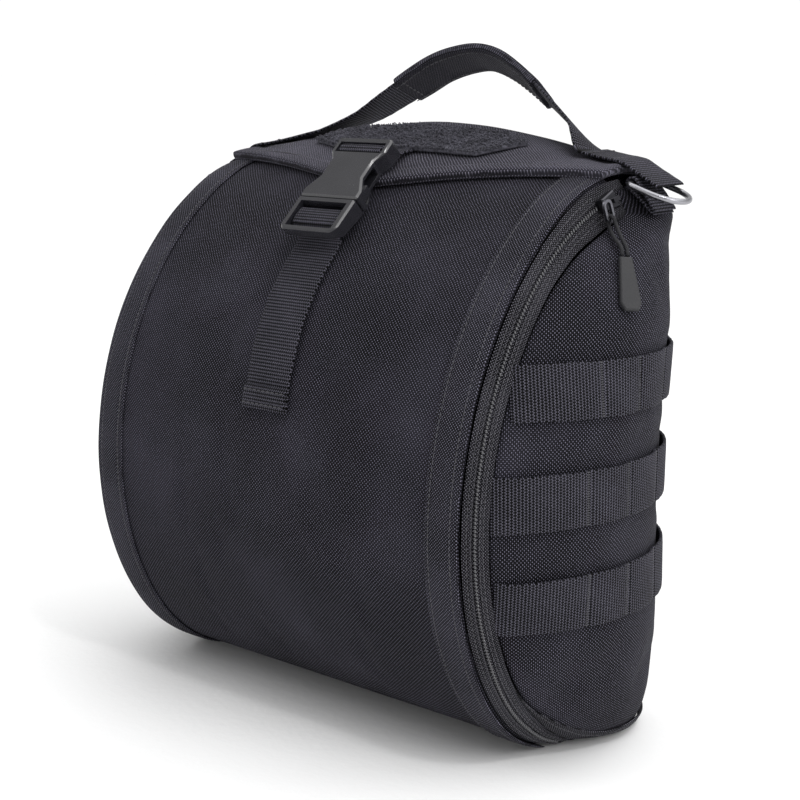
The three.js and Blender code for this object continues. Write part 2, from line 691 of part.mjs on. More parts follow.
function handleStrap() {
  return closedSheet(handleGrid(handleSpots(), HANDLE_WIDTH), -WEBBING / 2, WEBBING / 2);
}

// A flat sleeve round the handle: an outer section and the hole that the webbing fills
function handleWrap() {
  const spots = handleSpots().filter(({ at }) => at.x > -WRAP_LEFT && at.x < WRAP_RIGHT);
  const grid = handleGrid(spots, 1);
  const rings = [
    { half: HANDLE_WIDTH / 2 + CLEARANCE + WRAP_THICKNESS, lift: WEBBING / 2 + CLEARANCE + WRAP_THICKNESS },
    { half: HANDLE_WIDTH / 2 + CLEARANCE, lift: WEBBING / 2 + CLEARANCE },
  ];
  const signs = [[-1, -1], [1, -1], [1, 1], [-1, 1]];
  const positions = [];
  const index = [];
  for (const ring of rings) {
    for (const [near, far] of grid) {
      const middle = near.at.clone().lerp(far.at, 0.5);
      const across = far.at.clone().sub(near.at).normalize();
      for (const [a, b] of signs) {
        const point = middle.clone().addScaledVector(across, a * ring.half);
        point.addScaledVector(near.out, b * ring.lift);
        positions.push(point.x, point.y, point.z);
      }
    }
  }
  const count = grid.length;
  const spot = (ring, i, k) => ring * count * 4 + i * 4 + (k % 4);
  const quad = (a, b, c, d) => index.push(a, b, c, a, c, d);
  for (let k = 0; k < 4; k += 1) {
    for (let i = 0; i < count - 1; i += 1) {
      quad(spot(0, i, k), spot(0, i, k + 1), spot(0, i + 1, k + 1), spot(0, i + 1, k));
      quad(spot(1, i, k), spot(1, i + 1, k), spot(1, i + 1, k + 1), spot(1, i, k + 1));
    }
    quad(spot(0, 0, k), spot(1, 0, k), spot(1, 0, k + 1), spot(0, 0, k + 1));
    const end = count - 1;
    quad(spot(0, end, k), spot(0, end, k + 1), spot(1, end, k + 1), spot(1, end, k));
  }
  return closedBody(positions, index);
}

function bevelled(shape, depth, edge, curveSegments = 4) {
  return new THREE.ExtrudeGeometry(shape, {
    depth: depth - 2 * edge,
    bevelEnabled: true,
    bevelThickness: edge,
    bevelSize: edge,
    bevelOffset: -edge,
    bevelSegments: 1,
    curveSegments,
  }).translate(0, 0, edge - depth);
}

function slotCut(slot, width, top = 1, bottom = -BUCKLE_THICKNESS - 1) {
  const length = slot.to - slot.from;
  return toSolid(boxAt(width, length, top - bottom, 0, (slot.from + slot.to) / 2, (top + bottom) / 2));
}

// Half widths of the socket half along it, from the joint to its webbing end
const socketTable = [
  { along: 0, half: 1 },
  { along: 0.12, half: 1 },
  { along: 0.34, half: 0.74 },
  { along: 0.62, half: 0.74 },
  { along: 0.76, half: 0.95 },
  { along: 0.95, half: 0.95 },
  { along: 1, half: 0.88 },
];

function buckleSocket() {
  const start = MALE_LENGTH + CLEARANCE;
  const length = BUCKLE_LENGTH - start;
  const right = socketTable.map((row) => ({ x: row.half * BUCKLE_WIDTH / 2, y: start + row.along * length }));
  const shape = new THREE.Shape();
  shape.moveTo(right[0].x, right[0].y);
  right.slice(1).forEach((point) => shape.lineTo(point.x, point.y));
  right.slice().reverse().forEach((point) => shape.lineTo(-point.x, point.y));
  shape.closePath();
  const body = toSolid(bevelled(shape, BUCKLE_THICKNESS, BUCKLE_EDGE));
  const middle = -BUCKLE_THICKNESS / 2;
  const mouth = toSolid(boxAt(SOCKET.width, SOCKET.depth, SOCKET.height, 0, start + SOCKET.depth / 2 - 1, middle));
  const windows = toSolid(boxAt(
    BUCKLE_WIDTH + 4,
    WINDOW.to - WINDOW.from,
    SOCKET.height,
    0,
    start + (WINDOW.from + WINDOW.to) / 2,
    middle,
  ));
  return fromSolid(body.subtract(mouth).subtract(windows).subtract(slotCut(TOP_SLOT, STRAP_WIDTH + SLOT_SPARE)));
}

function bucklePlug() {
  const half = BUCKLE_WIDTH / 2;
  const shape = new THREE.Shape();
  shape.moveTo(-half + 2.5, 0);
  shape.lineTo(half - 2.5, 0);
  shape.lineTo(half, 3.5);
  shape.lineTo(half, MALE_LENGTH);
  shape.lineTo(-half, MALE_LENGTH);
  shape.lineTo(-half, 3.5);
  shape.closePath();
  let body = toSolid(bevelled(shape, BUCKLE_THICKNESS, BUCKLE_EDGE));
  for (const slot of LADDER_SLOTS) body = body.subtract(slotCut(slot, STRAP_WIDTH + SLOT_SPARE));
  const bar = { from: LADDER_SLOTS[0].to, to: LADDER_SLOTS[1].from };
  const wide = { from: bar.from - 0.01, to: bar.to + 0.01 };
  body = body.subtract(slotCut(wide, STRAP_WIDTH + SLOT_SPARE, 1, -BAR_SINK));
  body = body.subtract(slotCut(wide, STRAP_WIDTH + SLOT_SPARE, -BUCKLE_THICKNESS + 2.4, -BUCKLE_THICKNESS - 1));
  const middle = -BUCKLE_THICKNESS / 2;
  const thick = SOCKET.height - 2 * CLEARANCE;
  const armX = SOCKET.width / 2 - CLEARANCE - 2;
  const reach = WINDOW.to - 0.6;
  for (const side of [-1, 1]) {
    const arm = boxAt(4, reach + 3, thick, side * armX, MALE_LENGTH + (reach - 3) / 2, middle);
    const push = boxAt(6, WINDOW.to - WINDOW.from - 1, thick, side * (armX + 1.6),
      MALE_LENGTH + CLEARANCE + (WINDOW.from + WINDOW.to) / 2, middle);
    body = body.add(toSolid(arm)).add(toSolid(push));
  }
  const stem = boxAt(7, SOCKET.depth - 5 + 3, thick, 0, MALE_LENGTH + (SOCKET.depth - 5 - 3) / 2, middle);
  return fromSolid(body.add(toSolid(stem)));
}

function shoulderRing() {
  const half = RING_WIDTH / 2;
  const bow = RING_REACH - half;
  const outline = (inset, Kind) => {
    const path = new Kind();
    const side = half - inset;
    path.moveTo(-RING_WIRE / 2 + inset, -side);
    path.lineTo(bow + RING_WIRE / 2, -side);
    path.absarc(bow + RING_WIRE / 2, 0, side, -Math.PI / 2, Math.PI / 2, false);
    path.lineTo(-RING_WIRE / 2 + inset, side);
    path.closePath();
    return path;
  };
  const shape = outline(0, THREE.Shape);
  shape.holes.push(outline(RING_WIRE, THREE.Path));
  return new THREE.ExtrudeGeometry(shape, {
    depth: RING_WIRE * 0.4,
    bevelEnabled: true,
    bevelThickness: RING_WIRE * 0.3,
    bevelSize: RING_WIRE * 0.3,
    bevelOffset: -RING_WIRE * 0.3,
    bevelSegments: 1,
    curveSegments: 14,
  }).translate(0, 0, -RING_WIRE * 0.2);
}

// The tab that holds a ring: folded round the bar and laid down the shoulder to its top seam
function ringTab() {
  const eye = RING_WIRE / 2 * 1.15 + CLEARANCE;
  const outer = eye + WEBBING;
  const rim = sidePoint(0.3, SEAM_TOP_ANGLE);
  const foot = { x: rim.x + 0.4 - ringBar.x, z: rim.z + 1.6 - ringBar.z };
  const slope = Math.atan2(foot.z, foot.x);
  const shape = new THREE.Shape();
  const startAngle = slope + Math.PI / 2;
  shape.moveTo(outer * Math.cos(startAngle), outer * Math.sin(startAngle));
  shape.absarc(0, 0, outer, startAngle, slope + Math.PI * 1.5, false);
  shape.lineTo(foot.x, foot.z);
  shape.lineTo(foot.x + WEBBING * 0.8, foot.z + WEBBING * 1.2);
  shape.closePath();
  const hole = new THREE.Path();
  hole.absarc(0, 0, eye, 0, Math.PI * 2, false);
  shape.holes.push(hole);
  const tab = new THREE.ExtrudeGeometry(shape, { depth: TAB_WIDTH, bevelEnabled: false, curveSegments: 8 });
  return tab.rotateX(Math.PI / 2).translate(0, TAB_WIDTH / 2, 0);
}

function addShoulderRing(side, word) {
  const seat = new THREE.Group();
  seat.position.set(side * ringBar.x, ringBar.y, ringBar.z);
  bag.add(seat);
  const tab = side > 0 ? ringTab() : mirrored(ringTab());
  place(`ring_tab_${word}`, tab, finishes.webbing, seat);
  const ring = place(`d_ring_${word}`, shoulderRing(), finishes.metal, seat);
  ring.rotation.set(0, side > 0 ? radians(RING_DROP) : Math.PI - radians(RING_DROP), 0);
}

// The slider: a tapered body over the coil with a bridge, and the wire pull that hangs from it
function zipSlider() {
  const { length, width, height } = SLIDER;
  const shape = new THREE.Shape();
  shape.moveTo(-width / 2, length / 2);
  shape.lineTo(-width * 0.36, -length / 2);
  shape.lineTo(width * 0.36, -length / 2);
  shape.lineTo(width / 2, length / 2);
  shape.closePath();
  const body = toSolid(bevelled(shape, height, 0.7).translate(0, 0, height));
  const bridge = toSolid(boxAt(2.2, length * 0.45, 3, 0, length * 0.2, height + 0.9));
  return fromSolid(body.add(bridge));
}

function spotOnBand(angle, lift) {
  const middle = bandPoint({ angle }, (bandShares.coilFront + bandShares.coilBack) / 2);
  const ahead = bandPoint({ angle: angle + 1 }, (bandShares.coilFront + bandShares.coilBack) / 2);
  const inner = bandPoint({ angle }, 1);
  const along = ahead.sub(middle).normalize();
  const across = inner.sub(middle).normalize();
  const out = across.clone().cross(along).normalize();
  if (out.x < 0) out.negate();
  return { at: middle.addScaledVector(out, lift), along, out };
}

function frameOf(at, along, out) {
  const across = along.clone().cross(out).normalize();
  const up = across.clone().cross(along).normalize();
  return new THREE.Matrix4().makeBasis(across, along, up).setPosition(at);
}

function sliderPlace() {
  const spot = spotOnBand(SLIDER_ANGLE, CLEARANCE);
  return frameOf(spot.at, spot.along, spot.out);
}

// Places on the side panel for the pull: its wire's end, and the rubber tab's two ends
const pullRoute = [
  { name: 'wire', station: 0.038, height: 0.977, lift: 5 },
  { name: 'tabTop', station: 0.236, height: 0.93, lift: 3 },
  { name: 'tabFoot', station: 0.337, height: 0.848, lift: 2.9 },
];

function pullSpot(name) {
  const row = pullRoute.find((entry) => entry.name === name);
  const angle = angleAtHeight(seamTop * row.height);
  const at = sidePoint(row.station, angle);
  const beside = sidePoint(row.station + 0.02, angle).sub(at);
  const above = sidePoint(row.station, angle + 0.5).sub(at);
  const out = beside.cross(above).normalize();
  if (out.x < 0) out.negate();
  return { at: at.addScaledVector(out, row.lift), out };
}

function pullBridge() {
  return spotOnBand(SLIDER_ANGLE - 2.4, CLEARANCE + SLIDER.height + 2.2).at;
}

// The wire pull: a flat loop from the slider's bridge to the cord
function pullWire() {
  const bridge = pullBridge();
  const end = pullSpot('wire').at;
  const length = bridge.distanceTo(end);
  const half = 3.2;
  const outline = (inset, Kind) => {
    const path = new Kind();
    const side = half - inset;
    path.moveTo(side, 0);
    path.lineTo(side, length - half);
    path.absarc(0, length - half, side, 0, Math.PI, false);
    path.lineTo(-side, 0);
    path.absarc(0, 0, side, Math.PI, Math.PI * 2, false);
    path.closePath();
    return path;
  };
  const shape = outline(0, THREE.Shape);
  shape.holes.push(outline(PULL_WIRE, THREE.Path));
  const wire = new THREE.ExtrudeGeometry(shape, { depth: PULL_WIRE, bevelEnabled: false, curveSegments: 6 });
  const along = end.clone().sub(bridge).normalize();
  return wire.translate(0, 0, -PULL_WIRE / 2).applyMatrix4(frameOf(bridge, along, pullSpot('wire').out));
}

// The pull's cord: one piece, from the tab up over the wire's end, through it and back to the tab
function pullCord() {
  const wire = pullSpot('wire');
  const top = pullSpot('tabTop');
  const bridge = pullBridge();
  const wireAlong = wire.at.clone().sub(bridge).normalize();
  const wireOut = wire.out.clone().addScaledVector(wireAlong, -wire.out.dot(wireAlong)).normalize();
  const tabAlong = pullSpot('tabFoot').at.sub(top.at).normalize();
  const tabAcross = tabAlong.clone().cross(top.out).normalize();
  const bar = wire.at.clone().addScaledVector(wireAlong, -PULL_WIRE / 2);
  const turn = [120, 150, 180, 210, 240].map((angle) => (
    bar.clone()
      .addScaledVector(wireAlong, CORD_BEND * Math.cos(radians(angle)))
      .addScaledVector(wireOut, CORD_BEND * Math.sin(radians(angle)))
  ));
  const strand = (side) => [
    top.at.clone().addScaledVector(tabAlong, -LAY).addScaledVector(tabAcross, side * CORD_SPREAD),
    top.at.clone().addScaledVector(tabAlong, -4.5).addScaledVector(tabAcross, side * CORD_SPREAD * 1.05),
    bar.clone().lerp(top.at, 0.45)
      .addScaledVector(tabAcross, side * CORD_SPREAD * 0.8)
      .addScaledVector(wireOut, -side * CORD_BEND * 0.45),
    bar.clone().addScaledVector(wireAlong, 1.2).addScaledVector(wireOut, -side * CORD_BEND * 0.98),
  ];
  const path = new THREE.CatmullRomCurve3([...strand(-1), ...turn, ...strand(1).reverse()]);
  const section = new THREE.Shape();
  section.absarc(0, 0, PULL_CORD / 2, 0, Math.PI * 2, false);
  return new THREE.ExtrudeGeometry(section, { steps: 30, bevelEnabled: false, extrudePath: path, curveSegments: 4 });
}

function pullTab() {
  const top = pullSpot('tabTop');
  const foot = pullSpot('tabFoot');
  const along = foot.at.clone().sub(top.at).normalize();
  const { length, width, thickness } = PULL_TAB;
  const shape = new THREE.Shape();
  shape.moveTo(-width * 0.3, 0);
  shape.lineTo(-width / 2, length - 4);
  shape.lineTo(-width / 2 + 2, length);
  shape.lineTo(width / 2 - 2, length);
  shape.lineTo(width / 2, length - 4);
  shape.lineTo(width * 0.3, 0);
  shape.closePath();
  return bevelled(shape, thickness, 0.7).translate(0, 0, thickness / 2).applyMatrix4(frameOf(top.at, along, top.out));
}

place('front_panel', frontPanel(), finishes.frontCloth);
place('base_panel', basePanel(), finishes.frontCloth);
place('back_panel', backPanel(), finishes.sideCloth);
place('lid', lid(), finishes.lidCloth);
place('loop_patch', loopPatch(), finishes.loopPile);
place('front_strap', frontStrap(), finishes.webbing);
place('flap_strap', flapStrap(), finishes.webbing);
place('handle_strap', handleStrap(), finishes.webbing);
place('handle_wrap', handleWrap(), finishes.webbing);

const buckle = new THREE.Group();
buckle.position.copy(buckleSpot(0, 0));
buckle.rotation.set(Math.atan2(buckleAlong.z, buckleAlong.y), 0, 0);
bag.add(buckle);
place('buckle_socket', buckleSocket(), finishes.plastic, buckle);
place('buckle_plug', bucklePlug(), finishes.plastic, buckle);

for (const [word, side] of [['right', 1], ['left', -1]]) {
  const placed = (name, geometry, finish) => {
    place(`${name}_${word}`, side > 0 ? geometry : mirrored(geometry), finish);
  };
  placed('side_panel', sidePanel(), finishes.sideCloth);
  placed('edge_binding', edgeBinding(), finishes.binding);
  placed('zip_tape', zipTape(), finishes.zipTape);
  placed('zip_coil', zipCoil(), finishes.zipCoil);
  molleMiddles.forEach((middle, n) => placed(`molle_${n + 1}`, molleRow(middle), finishes.webbing));
  placed('zip_slider', zipSlider().applyMatrix4(sliderPlace()), finishes.metal);
  placed('zip_pull', mergeVertices(bare(pullWire())), finishes.metal);
  placed('pull_cord', mergeVertices(bare(pullCord())), finishes.cord);
  placed('pull_tab', mergeVertices(bare(pullTab())), finishes.rubber);
  addShoulderRing(side, word);
}

bag.position.y = -baseMiddle;

export default assembly;
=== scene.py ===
"""The look of a padded tactical helmet bag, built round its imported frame.

Metres. X runs to the right seen from the front, the front faces -Y and Z is up. Forms are worked out with y
counted from the plane that splits the bag's depth, and moved by BASE_MIDDLE when their mesh is made.
"""

import bmesh
import bpy
import numpy as np
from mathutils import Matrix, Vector


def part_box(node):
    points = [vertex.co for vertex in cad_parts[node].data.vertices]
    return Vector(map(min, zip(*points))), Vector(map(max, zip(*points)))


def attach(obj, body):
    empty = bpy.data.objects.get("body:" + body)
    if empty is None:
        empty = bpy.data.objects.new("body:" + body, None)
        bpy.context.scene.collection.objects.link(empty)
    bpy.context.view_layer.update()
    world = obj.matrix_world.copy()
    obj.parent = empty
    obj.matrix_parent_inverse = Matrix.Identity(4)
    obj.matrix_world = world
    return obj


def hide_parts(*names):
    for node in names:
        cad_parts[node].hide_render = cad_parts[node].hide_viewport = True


bl_info = {
    "name": "Tactical Helmet Bag",
    "version": (1, 0, 0),
    "blender": (4, 5, 0),
    "location": "3D View > Sidebar > Helmet Bag",
    "description": "Builds a padded helmet bag with webbing, zips, a buckle and shoulder rings round its frame",
    "category": "Object",
}

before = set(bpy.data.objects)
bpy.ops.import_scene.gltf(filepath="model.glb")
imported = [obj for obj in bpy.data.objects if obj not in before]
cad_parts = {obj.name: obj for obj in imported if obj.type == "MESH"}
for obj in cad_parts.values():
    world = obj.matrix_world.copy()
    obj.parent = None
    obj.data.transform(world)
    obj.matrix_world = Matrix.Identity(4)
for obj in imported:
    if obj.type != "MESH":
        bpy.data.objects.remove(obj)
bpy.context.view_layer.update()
BAG = "bag"
SIDES = (("right", 1), ("left", -1))

# Form of the bag, as its frame has it
FRONT_DEPTH = 0.078
BACK_DEPTH = 0.078
BELLY_HEIGHT = 0.125
LOWER_REACH = 0.095
LOWER_DROP = 0.126
UPPER_REACH = 0.165
UPPER_RISE = 0.170
FRONT_CROWN = 0.004
DOME_RISE = 0.0079
DOME_FALL = 0.021
SIDE_BULGE = 0.031
SIDE_FOOT_BULGE = 0.006
RIM_DRAW = 0.014
FOOT_TUCK = 0.010
TUCK_HEIGHT = 0.090
SHOULDER_HEIGHT = 0.2795
SHOULDER_INSET = 0.007
LID_BACK_ANGLE = 84.3
LID_ROLL = 0.003
LID_EDGE_ANGLE = 58.3
LID_EDGE_SWEEP = 11.7
PANEL_TOP_ANGLE = 73.0
SEAM_TOP_ANGLE = 72.0
SEAM_FOOT = 0.0026
ZIP_TOP_ANGLE = 75.5
BASE_MIDDLE = 0.0395
HALF = float(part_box("base_panel")[1][0])
LID_HALF = HALF + 0.0023
BACK_HALF = HALF + 0.0013
SEAM_X = HALF + 0.008
SIDE_BACK_X = HALF + 0.005
ZIP_INSET = 0.0135
SEAM_INSETS = (
    (-90, 0.2), (-75, 0.6), (-60, 0.88), (-30, 1), (20, 0.97), (45, 1.05), (55, 1.22), (62, 1.45), (73, 1.62),
)

# Walls, lifts and gaps
LAY = 0.0005
CLEARANCE = 0.00035
FRONT_WALL = 0.0035
SIDE_WALL = 0.003
BACK_WALL = 0.006
LID_WALL = 0.003
HEM_STEP = 0.0008
BINDING_THICKNESS = 0.001
LID_LIFT = LAY + BINDING_THICKNESS + LAY
LID_TOP = LID_LIFT + LID_WALL
WEBBING = 0.0016
MOLLE_MIDDLES = (0.09125, 0.14125, 0.19125)
MOLLE_WIDTH = 0.0265
FOOT_TAPE = np.array([0, 0.001, 0.002, 0.0032, 0.0044, 0.0054, 0.0062, 0.007])
MOLLE_TACKS = (0.03, 0.29, 0.47, 0.67, 0.98)
PATCH_ANGLES = (69.0, 79.5)
PATCH_LEFT = ((0, -0.3), (0.35, -0.52), (0.7, -0.52), (1, -0.46))
PATCH_RIGHT = ((0, 0.44), (0.35, 0.52), (0.7, 0.58), (1, 0.5))
RING_BAR = (0.134, 0.0165, 0.281)
RING_WIRE = 0.003
RING_WIDTH = 0.030
RING_REACH = 0.026
RING_DROP = 18.0
RING_CORNER = 0.003
TAB_WIDTH = 0.020
MOLLE_THICKNESS = 0.0018
PATCH_THICKNESS = 0.0022
PILE_DENSITY = 0.56e6
CORD_DIAMETER = 0.002
THREAD_REST = 0.0001
INNER_SEAM = 0.0028
OUTER_SEAM = 0.0035
BAND_STEP = 0.00155
BAND_FOOT = 0.0015

# Handle: its arch in shares of half span, rise, lean and twist
HANDLE_SPAN = 0.206
HANDLE_RISE = 0.0465
HANDLE_LEAN = 0.025
HANDLE_TWIST = 36.0
HANDLE_SEAT = 0.060
TAIL_REACH = 0.148
TAIL_DROP = 0.0109
ARCH = (
    (-1, 0, 0, 0), (-0.88, 0.06, 0.05, 0), (-0.78, 0.12, 0.24, 0.05), (-0.58, 0.29, 0.46, 0.2),
    (-0.44, 0.49, 0.69, 0.38), (-0.29, 0.7, 0.87, 0.58), (-0.15, 0.87, 0.96, 0.64), (0, 0.97, 1, 0.66),
    (0.15, 1, 1, 0.76), (0.29, 0.92, 0.98, 0.95), (0.44, 0.75, 0.9, 1), (0.58, 0.56, 0.76, 0.97),
    (0.73, 0.36, 0.55, 0.95), (0.87, 0.17, 0.31, 0.8), (1, 0, 0, 0),
)

# Buckle: angle and lift of its two ends, its thickness and its top slot's ends
BUCKLE_FOOT = (44.25, 0.0032)
BUCKLE_HEAD = (65.15, 0.0057)
BUCKLE_THICKNESS = 0.011
TOP_SLOT = (0.0545, 0.0615)

# Camera, as solved on the photo
CAMERA_PLACE = (0.5435, -0.6567, 0.3381)
CAMERA_LENS = 70.74
CAMERA_DOWN = 12.07
CAMERA_TURN = 40

# The pull cord's chosen points on the right side, in millimetres in the frame: tab, wire, tab
CORD_POINTS = (
    (151.87, -23.65, 249.7), (150.49, -22.35, 253.23), (145.09, -19.0, 257.98), (139.39, -15.36, 264.08),
    (138.97, -16.17, 266.26), (138.08, -16.41, 267.0), (136.91, -16.44, 267.24), (135.78, -16.25, 266.9),
    (135.0, -15.89, 266.08), (134.9, -15.03, 263.88), (141.89, -20.58, 258.04), (149.0, -24.63, 253.43),
    (150.45, -25.82, 249.89),
)


# --- Forms ---------------------------------------------------------------------------------------------


def unit(v):
    return v / np.maximum(np.linalg.norm(v, axis=-1, keepdims=True), 1e-12)


def mix(a, b, share):
    return a + (b - a) * share


def square_to(across, along):
    """Directions across a run, made square to it."""
    return unit(across - along * np.sum(across * along, axis=1, keepdims=True))


def directions(path, across):
    """Directions along, across and out of a run of points."""
    along = unit(np.gradient(path, axis=0))
    across = square_to(across, along)
    return along, across, np.cross(across, along)


def reach_of(points):
    """Distances along a run of points, from its start."""
    return np.concatenate([[0], np.cumsum(np.linalg.norm(np.diff(points, axis=0), axis=1))])


def loop_inside(grid, rows, cols):
    """A loop round a grid, some rows and columns inside its rim."""
    return np.concatenate([
        grid[rows, cols:-cols], grid[rows:-rows, -1 - cols],
        grid[-1 - rows, cols:-cols][::-1], grid[rows:-rows, cols][::-1]])


def table(rows, at, value=1):
    return np.interp(at, [row[0] for row in rows], [row[value] for row in rows])


def smoothstep(x, low, high):
    t = np.clip((x - low) / (high - low), 0, 1)
    return t * t * (3 - 2 * t)


def vectors(x, y, z):
    return np.stack(np.broadcast_arrays(x, y, z), axis=-1).astype(float)


def quarters(angle):
    """The turn, reach and rise of the front's two quarter ellipses at an angle."""
    low = np.asarray(angle) < 0
    return np.radians(angle), np.where(low, LOWER_REACH, UPPER_REACH), np.where(low, LOWER_DROP, UPPER_RISE)


def front_curve(angle):
    turn, reach, rise = quarters(angle)
    return reach - FRONT_DEPTH - reach * np.cos(turn), np.maximum(BELLY_HEIGHT + rise * np.sin(turn), 0)


def front_outward(angle):
    turn, reach, rise = quarters(angle)
    return unit(vectors(0, -np.cos(turn) / reach, np.sin(turn) / rise))


def crown(x, angle):
    share = np.minimum(1.02, np.abs(x) / HALF)
    front = FRONT_CROWN * smoothstep(angle, 5, 40) * np.maximum(0, 1 - share ** 2)
    dome = DOME_RISE - DOME_FALL * share ** 1.7
    to_dome = np.clip((angle - 58) / (LID_BACK_ANGLE - 58), 0, 1) ** 2
    return mix(front, dome, to_dome)


def front_spot(x, angle):
    """Spots on the front's and lid's surface, with their outward directions."""
    x, angle = np.broadcast_arrays(np.asarray(x, float), np.asarray(angle, float))
    y, z = front_curve(angle)
    out = front_outward(angle)
    at = vectors(x, y, z) + out * crown(x, angle)[..., None]
    out = np.where((z <= 0)[..., None], (0.0, 0.0, -1.0), out)
    return at, out


def seam_point(angle):
    y, z = front_curve(angle)
    inset = ZIP_INSET * table(SEAM_INSETS, angle)
    at = vectors(SEAM_X, y, z) - front_outward(angle) * np.asarray(inset)[..., None]
    at[..., 2] = np.maximum(at[..., 2], SEAM_FOOT)
    return at


SEAM_TABLE_ANGLES = np.linspace(-90, SEAM_TOP_ANGLE, 1200)
SEAM_TABLE_HEIGHTS = np.maximum.accumulate(seam_point(SEAM_TABLE_ANGLES)[:, 2])
SEAM_TOP = float(SEAM_TABLE_HEIGHTS[-1])


def angle_at_height(height):
    return np.interp(height, SEAM_TABLE_HEIGHTS, SEAM_TABLE_ANGLES)


def side_bulge(z):
    lowest = MOLLE_MIDDLES[0] - MOLLE_WIDTH / 2
    highest = MOLLE_MIDDLES[-1] + MOLLE_WIDTH / 2
    rise = np.minimum(1, z / lowest)
    low = mix(SIDE_FOOT_BULGE, SIDE_BULGE, np.sqrt(np.maximum(0, 1 - (1 - rise) ** 2)))
    return low - RIM_DRAW * np.maximum(0, (z - highest) / (SEAM_TOP - highest)) ** 2


def back_y(z):
    return BACK_DEPTH - FOOT_TUCK * np.maximum(0, 1 - z / TUCK_HEIGHT) ** 2


def side_point(station, angle):
    station, angle = np.broadcast_arrays(np.asarray(station, float), np.asarray(angle, float))
    seam = seam_point(angle)
    power = np.where(station < 0.5, 1.9, 2.4)
    shape = 1 - np.abs(2 * station - 1) ** power
    x = mix(seam[..., 0], SIDE_BACK_X, station) + side_bulge(seam[..., 2]) * shape
    return vectors(x, mix(seam[..., 1], back_y(seam[..., 2]), station), seam[..., 2])


def side_at(y, z):
    """The spot of the side's surface at a depth and a height."""
    angle = angle_at_height(z)
    front = seam_point(angle)[..., 1]
    return side_point(np.clip((y - front) / (back_y(z) - front), 0, 1), angle)


def outward_of(grid):
    """Directions square to a grid of points, out of the bag's middle."""
    along = np.gradient(grid, axis=0)
    across = np.gradient(grid, axis=1)
    out = unit(np.cross(along, across))
    away = np.sum(out * (grid - (0, 0, BELLY_HEIGHT)), axis=-1)
    return np.where((away < 0)[..., None], -out, out)


def band_point(angle, share):
    """A spot on the zip's band, from the front panel's edge (0) to the side panel's seam (1)."""
    edge, out = front_spot(HALF, angle)
    outer = edge - out * 0.001
    outer[..., 0] = HALF + BAND_STEP
    outer[..., 2] = np.maximum(outer[..., 2], BAND_FOOT)
    inner = seam_point(angle) + front_outward(angle) * 0.0005
    inner[..., 0] -= 0.0005
    return mix(outer, inner, np.asarray(share)[..., None])


def band_outward(angle, share):
    return outward_of(band_point(angle[:, None], np.array([share, share + 0.05])[None, :]))[:, 0]


def lid_edge_angle(x):
    return LID_EDGE_ANGLE + LID_EDGE_SWEEP * np.abs(x) / HALF


def patch_spot(row, across):
    x = HALF * mix(table(PATCH_LEFT, row), table(PATCH_RIGHT, row), across)
    return front_spot(x, mix(*PATCH_ANGLES, row))


def lid_top_at(x):
    shares = np.array([-0.5, -0.25, 0, 0.25, 0.5]) * 0.025
    turn = np.degrees(np.arccos((UPPER_REACH - FRONT_DEPTH - HANDLE_SEAT - shares) / UPPER_REACH))
    return front_spot(np.full(5, x), turn)[0][:, 2].max() + LID_TOP + HEM_STEP


def catmull(points, per=24):
    """A centripetal curve through points, as a fine run of points."""
    points = np.asarray(points, float)
    ends = np.vstack([2 * points[0] - points[1], points, 2 * points[-1] - points[-2]])
    run = []
    for n in range(len(points) - 1):
        p = ends[n:n + 4]
        knots = np.cumsum([0, *(np.maximum(np.linalg.norm(np.diff(p, axis=0), axis=1), 1e-9) ** 0.5)])
        t = np.linspace(knots[1], knots[2], per, endpoint=n == len(points) - 2)[:, None]

        def between(a, b, low, high):
            return (a * (knots[high] - t) + b * (t - knots[low])) / (knots[high] - knots[low])

        a = [between(p[k], p[k + 1], k, k + 1) for k in range(3)]
        b = [between(a[k], a[k + 1], k, k + 2) for k in range(2)]
        run.append(between(b[0], b[1], 1, 2))
    return np.vstack(run)


def resampled(points, step, *others):
    """Points an even step apart along a run, and other rows read at the same places."""
    points = np.asarray(points, float)
    reach = reach_of(points[:, :3])
    at = np.linspace(0, reach[-1], max(2, int(round(reach[-1] / step)) + 1))

    def read(rows):
        rows = np.asarray(rows, float)
        return np.stack([np.interp(at, reach, rows[:, k]) for k in range(rows.shape[1])], axis=1)

    return [at, read(points), *[read(rows) for rows in others]]


# --- Meshes --------------------------------------------------------------------------------------------


def to_frame(points, side=1):
    points = np.array(points, float).reshape(-1, 3)
    points[:, 1] -= BASE_MIDDLE
    points[:, 0] *= side
    return points


def link(obj):
    bpy.context.scene.collection.objects.link(obj)
    return obj


def mesh_piece(name, points, faces, uv, material):
    """A mesh object at the origin, facing out, with a UV map in metres of cloth."""
    points = np.asarray(points, float)
    faces = [list(f) for f in faces]
    fan = np.array([(f[0], f[k], f[k + 1]) for f in faces for k in range(1, len(f) - 1)])
    tri = points[fan]
    if np.einsum("ij,ij->i", tri[:, 0], np.cross(tri[:, 1], tri[:, 2])).sum() < 0:
        faces = [f[::-1] for f in faces]
    mesh = bpy.data.meshes.new(name)
    mesh.from_pydata(points.tolist(), [], faces)
    layer = mesh.uv_layers.new(name="cloth")
    corners = np.empty(len(mesh.loops), dtype=np.int32)
    mesh.loops.foreach_get("vertex_index", corners)
    layer.data.foreach_set("uv", np.asarray(uv, float)[corners].ravel())
    mesh.polygons.foreach_set("use_smooth", [True] * len(mesh.polygons))
    mesh.materials.append(material)
    mesh.update()
    return link(bpy.data.objects.new(name, mesh))


def quads(n):
    """The faces of a grid of point numbers."""
    return np.stack([n[:-1, :-1], n[1:, :-1], n[1:, 1:], n[:-1, 1:]], axis=-1).reshape(-1, 4).tolist()


